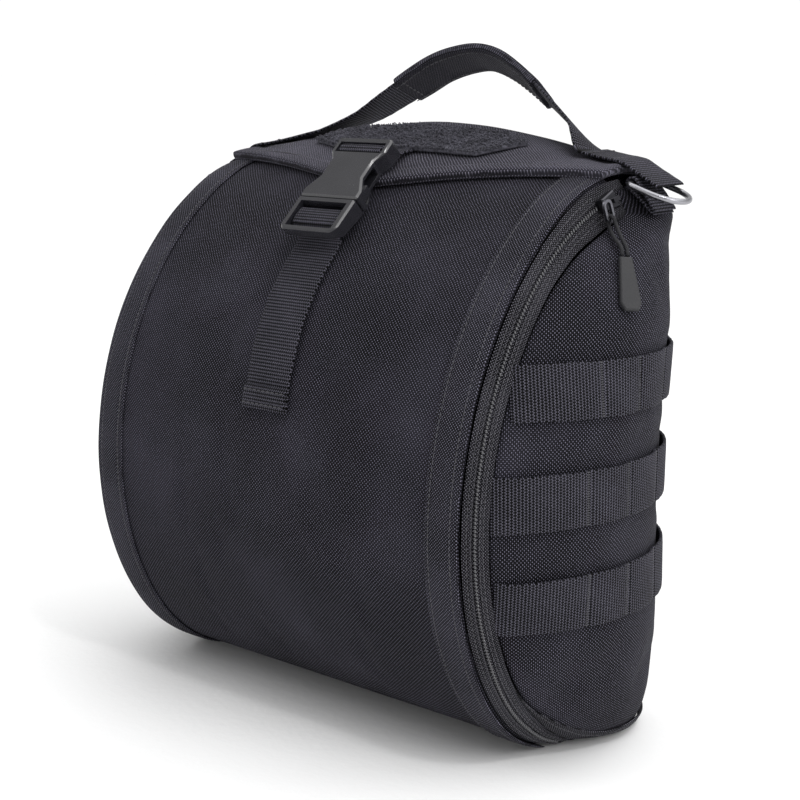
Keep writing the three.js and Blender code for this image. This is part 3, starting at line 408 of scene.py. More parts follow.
def grid_uv(grid):
    across = np.linalg.norm(np.diff(grid, axis=1), axis=2)
    along = np.linalg.norm(np.diff(grid, axis=0), axis=2)
    u = np.concatenate([np.zeros((grid.shape[0], 1)), np.cumsum(across, axis=1)], axis=1)
    v = np.concatenate([np.zeros((1, grid.shape[1])), np.cumsum(along, axis=0)], axis=0)
    u -= u[:, grid.shape[1] // 2][:, None]
    v = np.repeat(v.mean(axis=1)[:, None], grid.shape[1], axis=1)
    return np.stack([u, v], axis=-1)


def steps_inside(rows, cols):
    """How many steps each spot of a grid is from its rim."""
    i = np.minimum(np.arange(rows), np.arange(rows)[::-1])
    j = np.minimum(np.arange(cols), np.arange(cols)[::-1])
    return np.minimum(i[:, None], j[None, :])


def shell(name, grid, out, low, high, material, side=1):
    """A closed padded sheet on a grid of spots, from one lift to another, its rim rounded."""
    rows, cols = grid.shape[:2]
    low = np.broadcast_to(low, (rows, cols)).astype(float)
    high = np.broadcast_to(high, (rows, cols)).astype(float)
    middle = (low + high) / 2
    share = np.interp(steps_inside(rows, cols), [0, 1, 2], [0.45, 0.9, 1])
    high = mix(middle, high, share)
    low = mix(middle, low, share)
    top = grid + out * high[..., None]
    under = grid + out * low[..., None]
    points = np.vstack([top.reshape(-1, 3), under.reshape(-1, 3)])
    flat = grid_uv(top).reshape(-1, 2)
    n = np.arange(rows * cols).reshape(rows, cols)
    m = n + rows * cols
    faces = quads(n) + [face[:1] + face[:0:-1] for face in quads(m)]
    rims = ((n[:, 0], m[:, 0]), (n[::-1, -1], m[::-1, -1]), (n[0, ::-1], m[0, ::-1]), (n[-1], m[-1]))
    for edge, base in rims:
        faces += np.stack([edge[:-1], base[:-1], base[1:], edge[1:]], axis=-1).tolist()
    points = to_frame(points, side)
    points[:, 2] = np.maximum(points[:, 2], 0)
    return mesh_piece(name, points, faces, np.vstack([flat, flat]), material)


def swell(piece, held, pressure, cap, spare):
    """Lets a padded piece swell as foam does under its cover. Held points stay where they are sewn."""
    mesh = piece.data
    rest = np.empty(len(mesh.vertices) * 3)
    mesh.vertices.foreach_get("co", rest)
    rest = rest.reshape(-1, 3)
    weights = np.ones(len(rest))
    weights[:held.size] = held.ravel()
    group = piece.vertex_groups.new(name="sewn")
    for weight in np.unique(np.round(weights, 2)):
        if weight > 0:
            chosen = np.flatnonzero(np.round(weights, 2) == weight)
            group.add(chosen.tolist(), float(weight), "REPLACE")
    cloth = piece.modifiers.new("swell", "CLOTH")
    settings = cloth.settings
    settings.quality = 4
    settings.mass = 0.25
    settings.tension_stiffness = 12
    settings.compression_stiffness = 12
    settings.bending_stiffness = 0.4
    settings.use_pressure = True
    settings.uniform_pressure_force = pressure
    settings.shrink_min = -spare
    settings.vertex_group_mass = "sewn"
    settings.effector_weights.gravity = 0
    cloth.collision_settings.use_collision = False
    scene = bpy.context.scene
    for number in range(1, 21):
        scene.frame_set(number)
    graph = bpy.context.evaluated_depsgraph_get()
    shaped = piece.evaluated_get(graph).to_mesh()
    moved = np.empty(len(rest) * 3)
    shaped.vertices.foreach_get("co", moved)
    piece.evaluated_get(graph).to_mesh_clear()
    move = moved.reshape(-1, 3) - rest
    far = np.linalg.norm(move, axis=1, keepdims=True)
    move *= np.where(far > 1e-9, cap * np.tanh(far / cap) / np.maximum(far, 1e-9), 0) * (1 - weights[:, None])
    piece.modifiers.remove(cloth)
    piece.vertex_groups.remove(group)
    scene.frame_set(1)
    mesh.vertices.foreach_set("co", (rest + move).ravel())
    mesh.update()


def ripple(grid, seed, size, height):
    """Low uneven lifts over a grid of spots, as cloth has over foam."""
    random = np.random.default_rng(seed)
    uv = grid_uv(grid)
    lift = np.zeros(uv.shape[:2])
    for _ in range(9):
        direction = random.uniform(0, 2 * np.pi)
        pitch = size * random.uniform(0.6, 1.8)
        phase = random.uniform(0, 2 * np.pi)
        along = uv[..., 0] * np.cos(direction) + uv[..., 1] * np.sin(direction)
        lift += np.sin(2 * np.pi / pitch * along + phase)
    return height * lift / 4


def smooth(piece):
    modifier = piece.modifiers.new("smooth", "SUBSURF")
    modifier.levels = 1
    modifier.render_levels = 1
    modifier.boundary_smooth = "PRESERVE_CORNERS"
    return piece


SECTION = (
    (-1, 0), (-0.985, 0.62), (-0.94, 0.92), (-0.8, 1), (-0.6, 1), (-0.4, 1), (-0.2, 1), (0, 1),
    (0.2, 1), (0.4, 1), (0.6, 1), (0.8, 1), (0.94, 0.92), (0.985, 0.62), (1, 0), (0.985, -0.62),
    (0.94, -0.92), (0.7, -1), (0.35, -1), (0, -1), (-0.35, -1), (-0.7, -1), (-0.94, -0.92), (-0.985, -0.62),
)


def swept(name, points, uv, material, side=1, closed=False, shifted=True):
    """A skin over rings of points, its ends capped or joined to each other."""
    rows, cols = points.shape[:2]
    n = np.arange(rows * cols).reshape(rows, cols)
    wrapped = np.concatenate([n, n[:, :1]], axis=1)
    if closed:
        faces = quads(np.concatenate([wrapped, wrapped[:1]]))
    else:
        faces = quads(wrapped) + [n[0].tolist(), n[-1][::-1].tolist()]
    points = to_frame(points, side) if shifted else points.reshape(-1, 3) * (side, 1, 1)
    uv = np.stack(np.broadcast_arrays(*uv), axis=-1).reshape(-1, 2)
    return mesh_piece(name, points, faces, uv, material)


def webbing(name, path, across, width, thickness, sizes, side=1):
    """A woven strap along a run of points, ribbed across its length."""
    reach, path, across = resampled(path, sizes.rib_pitch / 4, across)
    _, across, out = directions(path, across)
    rib = 0.5 + 0.5 * np.cos(2 * np.pi * reach / sizes.rib_pitch)
    taper = np.clip(np.minimum(reach, reach[-1] - reach) / 0.0006, 0.35, 1)
    a, b = np.array(SECTION).T
    flat = np.abs(a) < 0.9
    lift = thickness / 2 * b * taper[:, None]
    lift += np.where(flat, np.sign(b), 0) * (rib[:, None] - 0.5) * sizes.rib_height
    wobble = 0.00012 * np.sin(reach * 900) + 0.00016 * np.sin(reach * 230 + 1)
    spread = (width / 2 + wobble[:, None]) * a
    points = path[:, None] + across[:, None] * spread[..., None] + out[:, None] * lift[..., None]
    return swept(name, points, (a * width / 2, reach[:, None]), finish_of("webbing weave"), side)


def tube(name, path, radius, material, side=1, closed=False, sectors=12, shifted=True):
    """A round bar along a run of points."""
    path = np.asarray(path, float)
    if closed:
        along = unit(np.roll(path, -1, axis=0) - np.roll(path, 1, axis=0))
    else:
        along = unit(np.gradient(path, axis=0))
    aside = [unit(np.cross(along[0], (0.3, 0.2, 0.9)))]
    for direction in along[1:]:
        aside.append(unit(aside[-1] - direction * np.dot(aside[-1], direction)))
    aside = np.array(aside)
    other = np.cross(along, aside)
    turn = np.linspace(0, 2 * np.pi, sectors, endpoint=False)
    ring = aside[:, None] * np.cos(turn)[None, :, None] + other[:, None] * np.sin(turn)[None, :, None]
    uv = (turn[None, :] * radius, reach_of(path)[:, None])
    return swept(name, path[:, None] + ring * radius, uv, material, side, closed, shifted)


def rounded_copy(name, node, width, segments, material, corner=0, up=None, shape=None):
    """A copy of a CAD piece with its flat faces joined and its edges rounded, corners along up by more."""
    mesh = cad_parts[node].data.copy()
    work = bmesh.new()
    work.from_mesh(mesh)
    bmesh.ops.remove_doubles(work, verts=work.verts, dist=1e-6)
    bmesh.ops.dissolve_limit(work, angle_limit=np.radians(1.5), verts=work.verts, edges=work.edges)
    if corner:
        chosen = []
        for edge in work.edges:
            run = edge.verts[1].co - edge.verts[0].co
            if edge.is_manifold and run.length > 0.005 and abs(run.normalized().dot(up)) > 0.995:
                if edge.calc_face_angle_signed() > np.radians(20):
                    chosen.append(edge)
        bmesh.ops.bevel(work, geom=chosen, offset=corner, segments=4, profile=0.5, affect="EDGES",
                        clamp_overlap=True)
    if shape is not None:
        for vert in work.verts:
            vert.co = shape(vert.co)
    work.to_mesh(mesh)
    work.free()
    mesh.materials.clear()
    mesh.materials.append(material)
    piece = link(bpy.data.objects.new(name, mesh))
    bevel = piece.modifiers.new("edges", "BEVEL")
    bevel.width = width
    bevel.segments = segments
    bevel.limit_method = "ANGLE"
    bevel.angle_limit = np.radians(25)
    bevel.harden_normals = False
    mesh.polygons.foreach_set("use_smooth", [True] * len(mesh.polygons))
    normals = piece.modifiers.new("faces", "WEIGHTED_NORMAL")
    normals.keep_sharp = False
    return piece


def finish_piece(piece, replaced=(), body=BAG):
    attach(piece, body)
    if replaced:
        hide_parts(*replaced)
    return piece


# --- Rows of small repeated pieces ----------------------------------------------------------------------


def new_tree(name, *inputs):
    """A node tree with named inputs, its given sockets, and calls that add a node and that close the tree."""
    tree = bpy.data.node_groups.new(name, "GeometryNodeTree")
    for label, kind in inputs:
        tree.interface.new_socket(label, in_out="INPUT", socket_type="NodeSocket" + kind)
    tree.interface.new_socket("Pieces", in_out="OUTPUT", socket_type="NodeSocketGeometry")
    given = tree.nodes.new("NodeGroupInput").outputs
    end = tree.nodes.new("NodeGroupOutput")

    def add(kind, values=(), **settings):
        node = tree.nodes.new(kind)
        for key, value in settings.items():
            setattr(node, key, value)
        for key, value in dict(values).items():
            if isinstance(value, bpy.types.NodeSocket):
                tree.links.new(value, node.inputs[key])
            else:
                node.inputs[key].default_value = value
        return node.outputs

    def close(instances):
        real = add("GeometryNodeRealizeInstances", {0: instances[0]})
        soft = add("GeometryNodeSetShadeSmooth", {"Geometry": real[0]})
        painted = add("GeometryNodeSetMaterial", {"Geometry": soft[0], "Material": given["Finish"]})
        tree.links.new(painted[0], end.inputs[0])
        return tree

    return given, add, close


def row_tree():
    """Nodes that lay one small rounded bead at each pitch along lines: a stitch, a zip tooth or a tack."""
    made = bpy.data.node_groups.get("sewn row")
    if made:
        return made
    given, add, close = new_tree(
        "sewn row", ("Lines", "Geometry"), ("Pitch", "Float"), ("Length", "Float"), ("Width", "Float"),
        ("Height", "Float"), ("Finish", "Material"))
    curve = add("GeometryNodeMeshToCurve", {0: given["Lines"]})
    even = add("GeometryNodeResampleCurve", {"Curve": curve[0], "Length": given["Pitch"]}, mode="LENGTH")
    bead = add("GeometryNodeMeshUVSphere", {"Segments": 6, "Rings": 5, "Radius": 0.5})
    size = add("ShaderNodeCombineXYZ", {"X": given["Width"], "Y": given["Height"], "Z": given["Length"]})
    shape = add("GeometryNodeTransform", {"Geometry": bead["Mesh"], "Scale": size[0]})
    tangent = add("GeometryNodeInputTangent")
    turn = add("FunctionNodeAlignRotationToVector", {"Vector": tangent[0]}, axis="Z")
    across = add("GeometryNodeInputNamedAttribute", {"Name": "across"}, data_type="FLOAT_VECTOR")
    square = add("FunctionNodeAlignRotationToVector", {"Rotation": turn[0], "Vector": across["Attribute"]},
                 axis="X", pivot_axis="Z")
    return close(add("GeometryNodeInstanceOnPoints",
                     {"Points": even[0], "Instance": shape[0], "Rotation": square[0]}))


def run_nodes(carrier, tree, name, values):
    """Runs a node tree on an object with its inputs set, and returns the plain mesh that comes out."""
    modifier = carrier.modifiers.new("nodes", "NODES")
    modifier.node_group = tree
    for item in tree.interface.items_tree:
        if item.item_type == "SOCKET" and item.in_out == "INPUT" and item.name in values:
            modifier[item.identifier] = values[item.name]
    return plain_mesh(carrier, name)


def plain_mesh(obj, name):
    """Turns an object's evaluated modifiers into a plain mesh of that name, and drops the object."""
    graph = bpy.context.evaluated_depsgraph_get()
    mesh = bpy.data.meshes.new_from_object(obj.evaluated_get(graph))
    mesh.name = name
    bpy.data.objects.remove(obj)
    return link(bpy.data.objects.new(name, mesh))


def beads(name, lines, pitch, length, width, height, material):
    """Stitches, teeth or tacks along lines, each with its points, the direction across it and its side."""
    points = []
    across = []
    edges = []
    for line in lines:
        start = sum(len(p) for p in points)
        points.append(to_frame(line["points"], line["side"]))
        sideways = np.broadcast_to(line["across"], np.shape(line["points"])).astype(float)
        across.append(sideways * (line["side"], 1, 1))
        edges += [(start + n, start + n + 1) for n in range(len(line["points"]) - 1)]
    mesh = bpy.data.meshes.new(name + "_lines")
    mesh.from_pydata(np.vstack(points).tolist(), edges, [])
    attribute = mesh.attributes.new("across", "FLOAT_VECTOR", "POINT")
    attribute.data.foreach_set("vector", np.vstack(across).ravel())
    carrier = link(bpy.data.objects.new(name + "_lines", mesh))
    return run_nodes(carrier, row_tree(), name, {
        "Pitch": pitch, "Length": length, "Width": width, "Height": height, "Finish": material})


def stitches(name, lines, sizes):
    piece = beads(name, lines, sizes.stitch_pitch, sizes.stitch_length, sizes.thread * 1.5, sizes.thread,
                  finish_of("thread"))
    return finish_piece(piece)


def line(points, across=(1, 0, 0), side=1):
    return {"points": np.asarray(points, float), "across": across, "side": side}


def both_sides(points, across=(1, 0, 0)):
    return [line(points, across, 1), line(points, across, -1)]


# --- Materials -----------------------------------------------------------------------------------------


class Finish:
    """A material under construction: short names for the nodes that the finishes share."""

    def __init__(self, name):
        self.material = bpy.data.materials.new(name)
        self.material.use_nodes = True
        self.nodes = self.material.node_tree.nodes
        self.nodes.clear()
        self.out = self.nodes.new("ShaderNodeOutputMaterial")
        self.shader = self.nodes.new("ShaderNodeBsdfPrincipled")
        self.wire(self.shader.outputs[0], self.out.inputs["Surface"])

    def wire(self, source, socket):
        self.material.node_tree.links.new(source, socket)

    def put(self, socket, value):
        if isinstance(value, (int, float)):
            socket.default_value = value
        else:
            self.wire(value, socket)

    def math(self, operation, *values, clamp=False):
        node = self.nodes.new("ShaderNodeMath")
        node.operation = operation
        node.use_clamp = clamp
        for socket, value in zip(node.inputs, values):
            self.put(socket, value)
        return node.outputs[0]

    def times(self, a, b, clamp=False):
        return self.math("MULTIPLY", a, b, clamp=clamp)

    def plus(self, a, b, clamp=False):
        return self.math("ADD", a, b, clamp=clamp)

    def about(self, value, amount):
        """A 0 to 1 value, spread evenly about 0."""
        return self.times(self.math("SUBTRACT", value, 0.5), amount)

    def wave(self, kind, value):
        """A sine or cosine with one hump in each unit of the value."""
        return self.math(kind, self.times(value, np.pi))

    def place(self, uv):
        if uv:
            node = self.nodes.new("ShaderNodeUVMap")
            node.uv_map = "cloth"
            return node.outputs["UV"]
        return self.nodes.new("ShaderNodeTexCoord").outputs["Object"]

    def noise(self, vector, scale, detail=2.0, roughness=0.5):
        node = self.nodes.new("ShaderNodeTexNoise")
        node.inputs["Scale"].default_value = scale
        node.inputs["Detail"].default_value = detail
        node.inputs["Roughness"].default_value = roughness
        self.wire(vector, node.inputs["Vector"])
        return node.outputs["Fac"]

    def split(self, vector):
        node = self.nodes.new("ShaderNodeSeparateXYZ")
        self.wire(vector, node.inputs[0])
        return node.outputs["X"], node.outputs["Y"]

    def colour(self, dark, light, share):
        node = self.nodes.new("ShaderNodeMix")
        node.data_type = "RGBA"
        self.put(node.inputs["Factor"], share)
        node.inputs["A"].default_value = (*dark, 1)
        node.inputs["B"].default_value = (*light, 1)
        return node.outputs["Result"]

    def bump(self, height, distance, under=None):
        node = self.nodes.new("ShaderNodeBump")
        node.inputs["Strength"].default_value = 1.0
        node.inputs["Distance"].default_value = distance
        self.wire(height, node.inputs["Height"])
        if under is not None:
            self.wire(under, node.inputs["Normal"])
        return node.outputs["Normal"]

    def done(self, base, rough, normal=None, **constants):
        self.put(self.shader.inputs["Base Color"], base)
        self.put(self.shader.inputs["Roughness"], rough)
        if normal is not None:
            self.wire(normal, self.shader.inputs["Normal"])
        for name, value in constants.items():
            self.shader.inputs[name.replace("_", " ")].default_value = value
        return self.material


def shades(colour, low, high):
    return tuple(c * low for c in colour), tuple(c * high for c in colour)


def woven_finish(name, colour, pitch, depth, contrast=1.0):
    """Plain weave: crossing threads that pass over and under each other, a little uneven; the colour paints
    highlights on the thread crests and shade in the gaps between them.
    """
    f = Finish(name)
    uv = f.place(True)
    x, y = f.split(uv)
    drift = f.about(f.noise(uv, 90, 2), 1.3)
    x = f.plus(f.math("DIVIDE", x, pitch), drift)
    y = f.plus(f.math("DIVIDE", y, pitch), f.times(drift, 0.7))
    over = f.math("ABSOLUTE", f.math("MODULO", f.plus(f.math("FLOOR", x), f.math("FLOOR", y)), 2.0))
    sx = f.wave("SINE", f.math("FRACT", x))
    sy = f.wave("SINE", f.math("FRACT", y))
    warp = f.times(sx, f.math("POWER", sy, 0.45))
    weft = f.times(f.times(sy, f.math("POWER", sx, 0.45)), 0.5)
    under = f.times(weft, f.math("SUBTRACT", 1.0, over))
    height = f.plus(f.times(warp, over), under)
    speck = f.noise(uv, 900, 1)
    broad = f.noise(uv, 14, 4)
    # Colour: thread crests painted lighter as painted highlights and the gaps between threads painted darker as
    # painted shade, broken by a random speck from thread to thread and a broad random mottling.
    share = f.plus(0.05, f.times(speck, 2.1))
    share = f.times(f.math("POWER", height, 3.2), share)
    share = f.plus(share, f.about(broad, 0.4), clamp=True)
    dark, light = shades(colour, 1 - 0.98 * contrast, 1 + 13 * contrast)
    base = f.colour(dark, light, share)
    roughness = f.plus(0.7, f.times(broad, 0.2))
    fuzz = f.bump(f.noise(uv, 2600, 2), 0.00006)
    normal = f.bump(height, depth, fuzz)
    return f.done(base, roughness, normal, Sheen_Weight=0.015, Sheen_Roughness=0.5, Specular_IOR_Level=0.09)


def webbing_finish(name, colour, sizes):
    """Ribbed webbing: rows of small floats along each rib, shifted from one rib to the next; the colour paints
    highlights on the floats and shade in the dips between ribs.
    """
    f = Finish(name)
    uv = f.place(True)
    x, y = f.split(uv)
    rib = f.math("DIVIDE", y, sizes.rib_pitch)
    drift = f.about(f.noise(uv, 200, 2), 0.5)
    shift = f.times(f.math("FLOOR", rib), 0.5)
    across = f.plus(f.plus(f.math("DIVIDE", x, sizes.rib_pitch * 0.8), shift), drift)
    ridge = f.math("ABSOLUTE", f.wave("COSINE", rib))
    float_ = f.math("ABSOLUTE", f.wave("SINE", across))
    height = f.times(f.math("POWER", ridge, 1.6), f.math("POWER", float_, 3.0))
    speck = f.noise(uv, 1100, 1)
    broad = f.noise(uv, 30, 3)
    # Colour: float crests painted lighter as painted highlights and the dips between ribs painted dark as
    # painted shade, with a random speck and broad random mottling.
    share = f.times(height, f.plus(0.15, f.times(speck, 1.3)))
    share = f.plus(share, f.about(broad, 0.3), clamp=True)
    dark, light = shades(colour, 0.02, 19.0)
    base = f.colour(dark, light, share)
    fuzz = f.bump(f.noise(uv, 3000, 2), 0.00005)
    normal = f.bump(height, 0.00032, fuzz)
    return f.done(base, f.plus(0.62, f.times(broad, 0.22)), normal,
                  Sheen_Weight=0.01, Sheen_Roughness=0.5, Specular_IOR_Level=0.09)


def pile_finish(name, colour):
    """Loop pile: matt loops whose shade varies from loop to loop."""
    f = Finish(name)
    at = f.place(False)
    dark, light = shades(colour, 0.3, 2.3)
    fine = f.times(f.noise(at, 700, 2), 0.7)
    share = f.plus(fine, f.times(f.noise(at, 90, 2), 0.4))
    share = f.times(f.math("SUBTRACT", share, 0.32), 2.1, clamp=True)
    normal = f.bump(f.noise(at, 4000, 2), 0.0001)
    return f.done(f.colour(dark, light, share), 0.95, normal, Sheen_Weight=0.04, Sheen_Roughness=0.6,
                  Specular_IOR_Level=0.15)


def thread_finish(name, colour):
    f = Finish(name)
    at = f.place(False)
    dark, light = shades(colour, 0.6, 1.6)
    normal = f.bump(f.noise(at, 3500, 2), 0.00008)
    return f.done(f.colour(dark, light, f.noise(at, 1500, 2)), 0.55, normal, Specular_IOR_Level=0.35)


def moulded_finish(name, colour, rough, grain, gloss=0.45):
    """Moulded plastic: fine grain, faint flow marks and slightly polished high spots."""
    f = Finish(name)
    at = f.place(False)
    broad = f.noise(at, 60, 4)
    fine = f.noise(at, 2200, 2)
    dark, light = shades(colour, 0.8, 1.3)
    share = f.plus(f.times(broad, 0.7), f.times(fine, 0.3))
    roughness = f.plus(rough - 0.08, f.times(broad, 0.16))
    normal = f.bump(fine, grain, f.bump(f.noise(at, 35, 2), 0.0002))
    return f.done(f.colour(dark, light, share), roughness, normal, Specular_IOR_Level=gloss)


def braid_finish(name, colour):
    """Braided cord: two sets of strands that cross on a slant, with painted highlights on the strand crests and
    painted shade in the grooves between them.
    """
    f = Finish(name)
    uv = f.place(True)
    x, y = f.split(uv)
    u = f.math("DIVIDE", x, 0.00105)
    v = f.math("DIVIDE", y, 0.0016)
    one = f.math("ABSOLUTE", f.wave("SINE", f.plus(u, v)))
    two = f.math("ABSOLUTE", f.wave("SINE", f.math("SUBTRACT", u, v)))
    height = f.math("MAXIMUM", one, two)
    # Colour: strand crests painted lighter as painted highlights and the grooves between strands painted darker
    # as painted shade.
    dark, light = shades(colour, 0.5, 1.8)
    return f.done(f.colour(dark, light, f.math("POWER", height, 3.0)), 0.7, f.bump(height, 0.0002),
                  Specular_IOR_Level=0.3)


def metal_finish(name, colour):
    """Plated wire: bright, with fine scratches and duller spots where it rubs."""
    f = Finish(name)
    at = f.place(False)
    wear = f.noise(at, 120, 5, 0.6)
    dark, light = shades(colour, 0.7, 1.15)
    roughness = f.plus(0.16, f.times(wear, 0.3))
    normal = f.bump(f.noise(at, 1400, 3), 0.00004)
    return f.done(f.colour(dark, light, wear), roughness, normal, Metallic=1.0)


def floor_finish(name):
    f = Finish(name)
    at = f.place(False)
    share = f.noise(at, 3, 3)
    base = f.colour((0.9, 0.9, 0.9), (0.94, 0.94, 0.94), share)
    return f.done(base, 0.9, f.bump(f.noise(at, 200, 2), 0.0002))


def finish_of(name):
    """One material by name, made the first time that a piece asks for it."""
    made = bpy.data.materials.get(name)
    if made:
        return made
    colours = bpy.context.scene.bag_colours
    sizes = bpy.context.scene.bag_sizes
    weave = sizes.weave_pitch
    makers = {
        "front weave": lambda: woven_finish(name, colours.front, weave, 0.00034),
        "side weave": lambda: woven_finish(name, colours.side, weave, 0.00034),
        "lid weave": lambda: woven_finish(name, colours.lid, weave * 0.9, 0.00026, 0.6),
        "binding weave": lambda: woven_finish(name, colours.binding, weave * 0.85, 0.0003),
        "sleeve weave": lambda: woven_finish(name, colours.binding, weave * 0.7, 0.0002, 0.55),
        "zip tape weave": lambda: woven_finish(name, colours.tape, weave * 0.8, 0.0003),
        "webbing weave": lambda: webbing_finish(name, colours.webbing, sizes),
        "loop pile": lambda: pile_finish(name, colours.pile),
        "thread": lambda: thread_finish(name, colours.thread),
        "zip coil": lambda: moulded_finish(name, colours.coil, 0.25, 0.00002, 1.0),
        "buckle plastic": lambda: moulded_finish(name, colours.plastic, 0.24, 0.00002, 0.9),
        "tab rubber": lambda: moulded_finish(name, colours.rubber, 0.6, 0.00006),
        "braid": lambda: braid_finish(name, colours.cord),
        "plated metal": lambda: metal_finish(name, colours.metal),
        "slider metal": lambda: metal_finish(name, colours.slider),
        "wire metal": lambda: metal_finish(name, tuple(3 * c for c in colours.slider)),
        "pale floor": lambda: floor_finish(name),
    }
    return makers[name]()


# --- Settings ------------------------------------------------------------------------------------------


def length_setting(name, default, description):
    return bpy.props.FloatProperty(
        name=name, default=default, description=description, unit="LENGTH", precision=5)


def colour_setting(name, default, description):
    return bpy.props.FloatVectorProperty(
        name=name, default=default, description=description, subtype="COLOR", size=3, min=0, max=1)


class BagSizes(bpy.types.PropertyGroup):
    weave_pitch: length_setting("Weave pitch", 0.00096, "From one thread of the panels' cloth to the next")
    rib_pitch: length_setting("Rib pitch", 0.0017, "From one rib of the webbing to the next")
    rib_height: length_setting("Rib height", 0.0001, "Height of the webbing's ribs")
    binding_width: length_setting("Binding width", 0.019, "Tape along the front panel's edges")
    strap_width: length_setting("Strap width", 0.029, "Closing strap")
    handle_width: length_setting("Handle width", 0.025, "Carry handle's webbing")
    stitch_pitch: length_setting("Stitch pitch", 0.0031, "From one stitch to the next")
    stitch_length: length_setting("Stitch length", 0.0026, "Visible length of a stitch")
    thread: length_setting("Thread", 0.00055, "Thickness of the sewing thread")
    hem_width: length_setting("Lid hem", 0.0085, "From the lid's edge to its row of stitches")
    tooth_pitch: length_setting("Tooth pitch", 0.0019, "From one tooth of the zip to the next")
    loop_size: length_setting("Loop size", 0.0016, "Width of a loop of the pile")
    swell_limit: length_setting("Swell limit", 0.004, "How far a padded panel may swell")


class BagColours(bpy.types.PropertyGroup):
    front: colour_setting("Front cloth", (0.0112, 0.0107, 0.0146), "Cloth of the front panel")
    side: colour_setting("Side cloth", (0.0124, 0.0119, 0.0159), "Cloth of the sides and back")
    # Lid cloth is about three times as light as the front cloth; part of this is painted light, the lid's
    # upward face made lighter to stand in for the top light falling on it.
    lid: colour_setting("Lid cloth", (0.0330, 0.0317, 0.0405), "Cloth of the lid")
    binding: colour_setting("Binding", (0.0153, 0.0148, 0.0194), "Tape along the front panel's edges")
    tape: colour_setting("Zip tape", (0.0150, 0.0146, 0.0175), "Cloth of the zip")
    webbing: colour_setting("Webbing", (0.0092, 0.0089, 0.0114), "Straps, handle and side rows")
    pile: colour_setting("Loop pile", (0.0475, 0.0465, 0.0580), "Patch on the lid")
    thread: colour_setting("Thread", (0.046, 0.045, 0.052), "Sewing thread")
    coil: colour_setting("Zip coil", (0.031, 0.031, 0.036), "Teeth of the zip")
    plastic: colour_setting("Plastic", (0.0150, 0.0148, 0.0185), "Buckle")
    rubber: colour_setting("Rubber", (0.0125, 0.0125, 0.0148), "Pull tabs")
    cord: colour_setting("Cord", (0.0110, 0.0110, 0.0130), "Pull cords")
    metal: colour_setting("Metal", (0.34, 0.34, 0.365), "Shoulder rings")
    slider: colour_setting("Slider", (0.060, 0.060, 0.068), "Zip sliders and their wires")


# --- Pieces --------------------------------------------------------------------------------------------


def edge_hold(rows, cols, depth):
    """1 along a grid's rim, falling to 0 inside it."""
    return np.clip(1 - steps_inside(rows, cols) / depth, 0, 1)


def curve_angles(low, high, step):
    """Angles up the front's curve at an even step along it."""
    fine = np.linspace(low, high, 3000)
    y, z = front_curve(fine)
    reach = np.concatenate([[0], np.cumsum(np.hypot(np.diff(y), np.diff(z)))])
    return np.interp(np.linspace(0, reach[-1], int(reach[-1] / step) + 1), reach, fine)


class BAG_OT_front(bpy.types.Operator):
    """Padded front panel, swollen between its sewn edges, and the flat base under it"""
    bl_idname = "bag.front"
    bl_label = "Front and base"

    def execute(self, context):
        sizes = context.scene.bag_sizes
        angles = curve_angles(-90, PANEL_TOP_ANGLE, 0.0045)
        x = np.linspace(-HALF, HALF, 61)
        at, out = front_spot(x[None, :], angles[:, None])
        inside = smoothstep(HALF - sizes.binding_width - np.abs(x), 0, 0.05)[None, :]
        free = inside * smoothstep(angles, -85, -40)[:, None] * (1 - smoothstep(angles, 40, 62))[:, None]
        strap = smoothstep(np.abs(x), sizes.strap_width / 2, sizes.strap_width)[None, :]
        free = free * mix(1, strap, smoothstep(angles, -5, 12)[:, None])
        lift = ripple(at, 4, 0.11, 0.0005) * free
        piece = shell("front_panel_padding", at, out, -FRONT_WALL, lift, finish_of("front weave"))
        swell(piece, 1 - free, 2.0, sizes.swell_limit * 0.5, 0.002)
        finish_piece(smooth(piece), ["front_panel"])

        low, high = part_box("base_panel")
        gx = np.linspace(low[0], high[0], 50)
        gy = np.linspace(low[1], high[1], 10) + BASE_MIDDLE
        grid = vectors(gx[None, :], gy[:, None], 0)
        base = shell("base_padding", grid, np.broadcast_to((0.0, 0.0, 1.0), grid.shape), 0, float(high[2]),
                     finish_of("front weave"))
        finish_piece(smooth(base), ["base_panel"])
        return {"FINISHED"}


class BAG_OT_binding(bpy.types.Operator):
    """Tape sewn along both edges of the front panel, with its two rows of stitches"""
    bl_idname = "bag.binding"
    bl_label = "Edge binding"

    def execute(self, context):
        sizes = context.scene.bag_sizes
        angles = curve_angles(-77, SEAM_TOP_ANGLE, 0.003)
        inner = HALF - sizes.binding_width
        x = np.concatenate([np.linspace(inner, inner + 0.004, 5), np.linspace(inner + 0.0055, HALF - 0.003, 8),
                            np.linspace(HALF - 0.002, HALF + 0.0002, 4)])
        at, out = front_spot(x[None, :], angles[:, None])
        seams = np.exp(-((x - inner - INNER_SEAM) / 0.0007) ** 2)
        seams = seams + np.exp(-((x - HALF + OUTER_SEAM) / 0.0007) ** 2)
        swelling = np.sin(np.pi * (x - inner) / sizes.binding_width)
        body = LAY + BINDING_THICKNESS + 0.0004 * swelling - 0.0004 * seams
        high = body[None, :] + ripple(at, 9, 0.035, 0.00022)
        rows = []
        for word, side in SIDES:
            piece = shell(f"edge_tape_{word}", at, out, 0.0001, high, finish_of("binding weave"), side)
            finish_piece(smooth(piece), [f"edge_binding_{word}"])
        for place in (inner + INNER_SEAM, HALF - OUTER_SEAM):
            spot, away = front_spot(place, angles)
            rows += both_sides(spot + away * (LAY + BINDING_THICKNESS + THREAD_REST))
        stitches("edge_tape_stitches", rows, sizes)
        return {"FINISHED"}


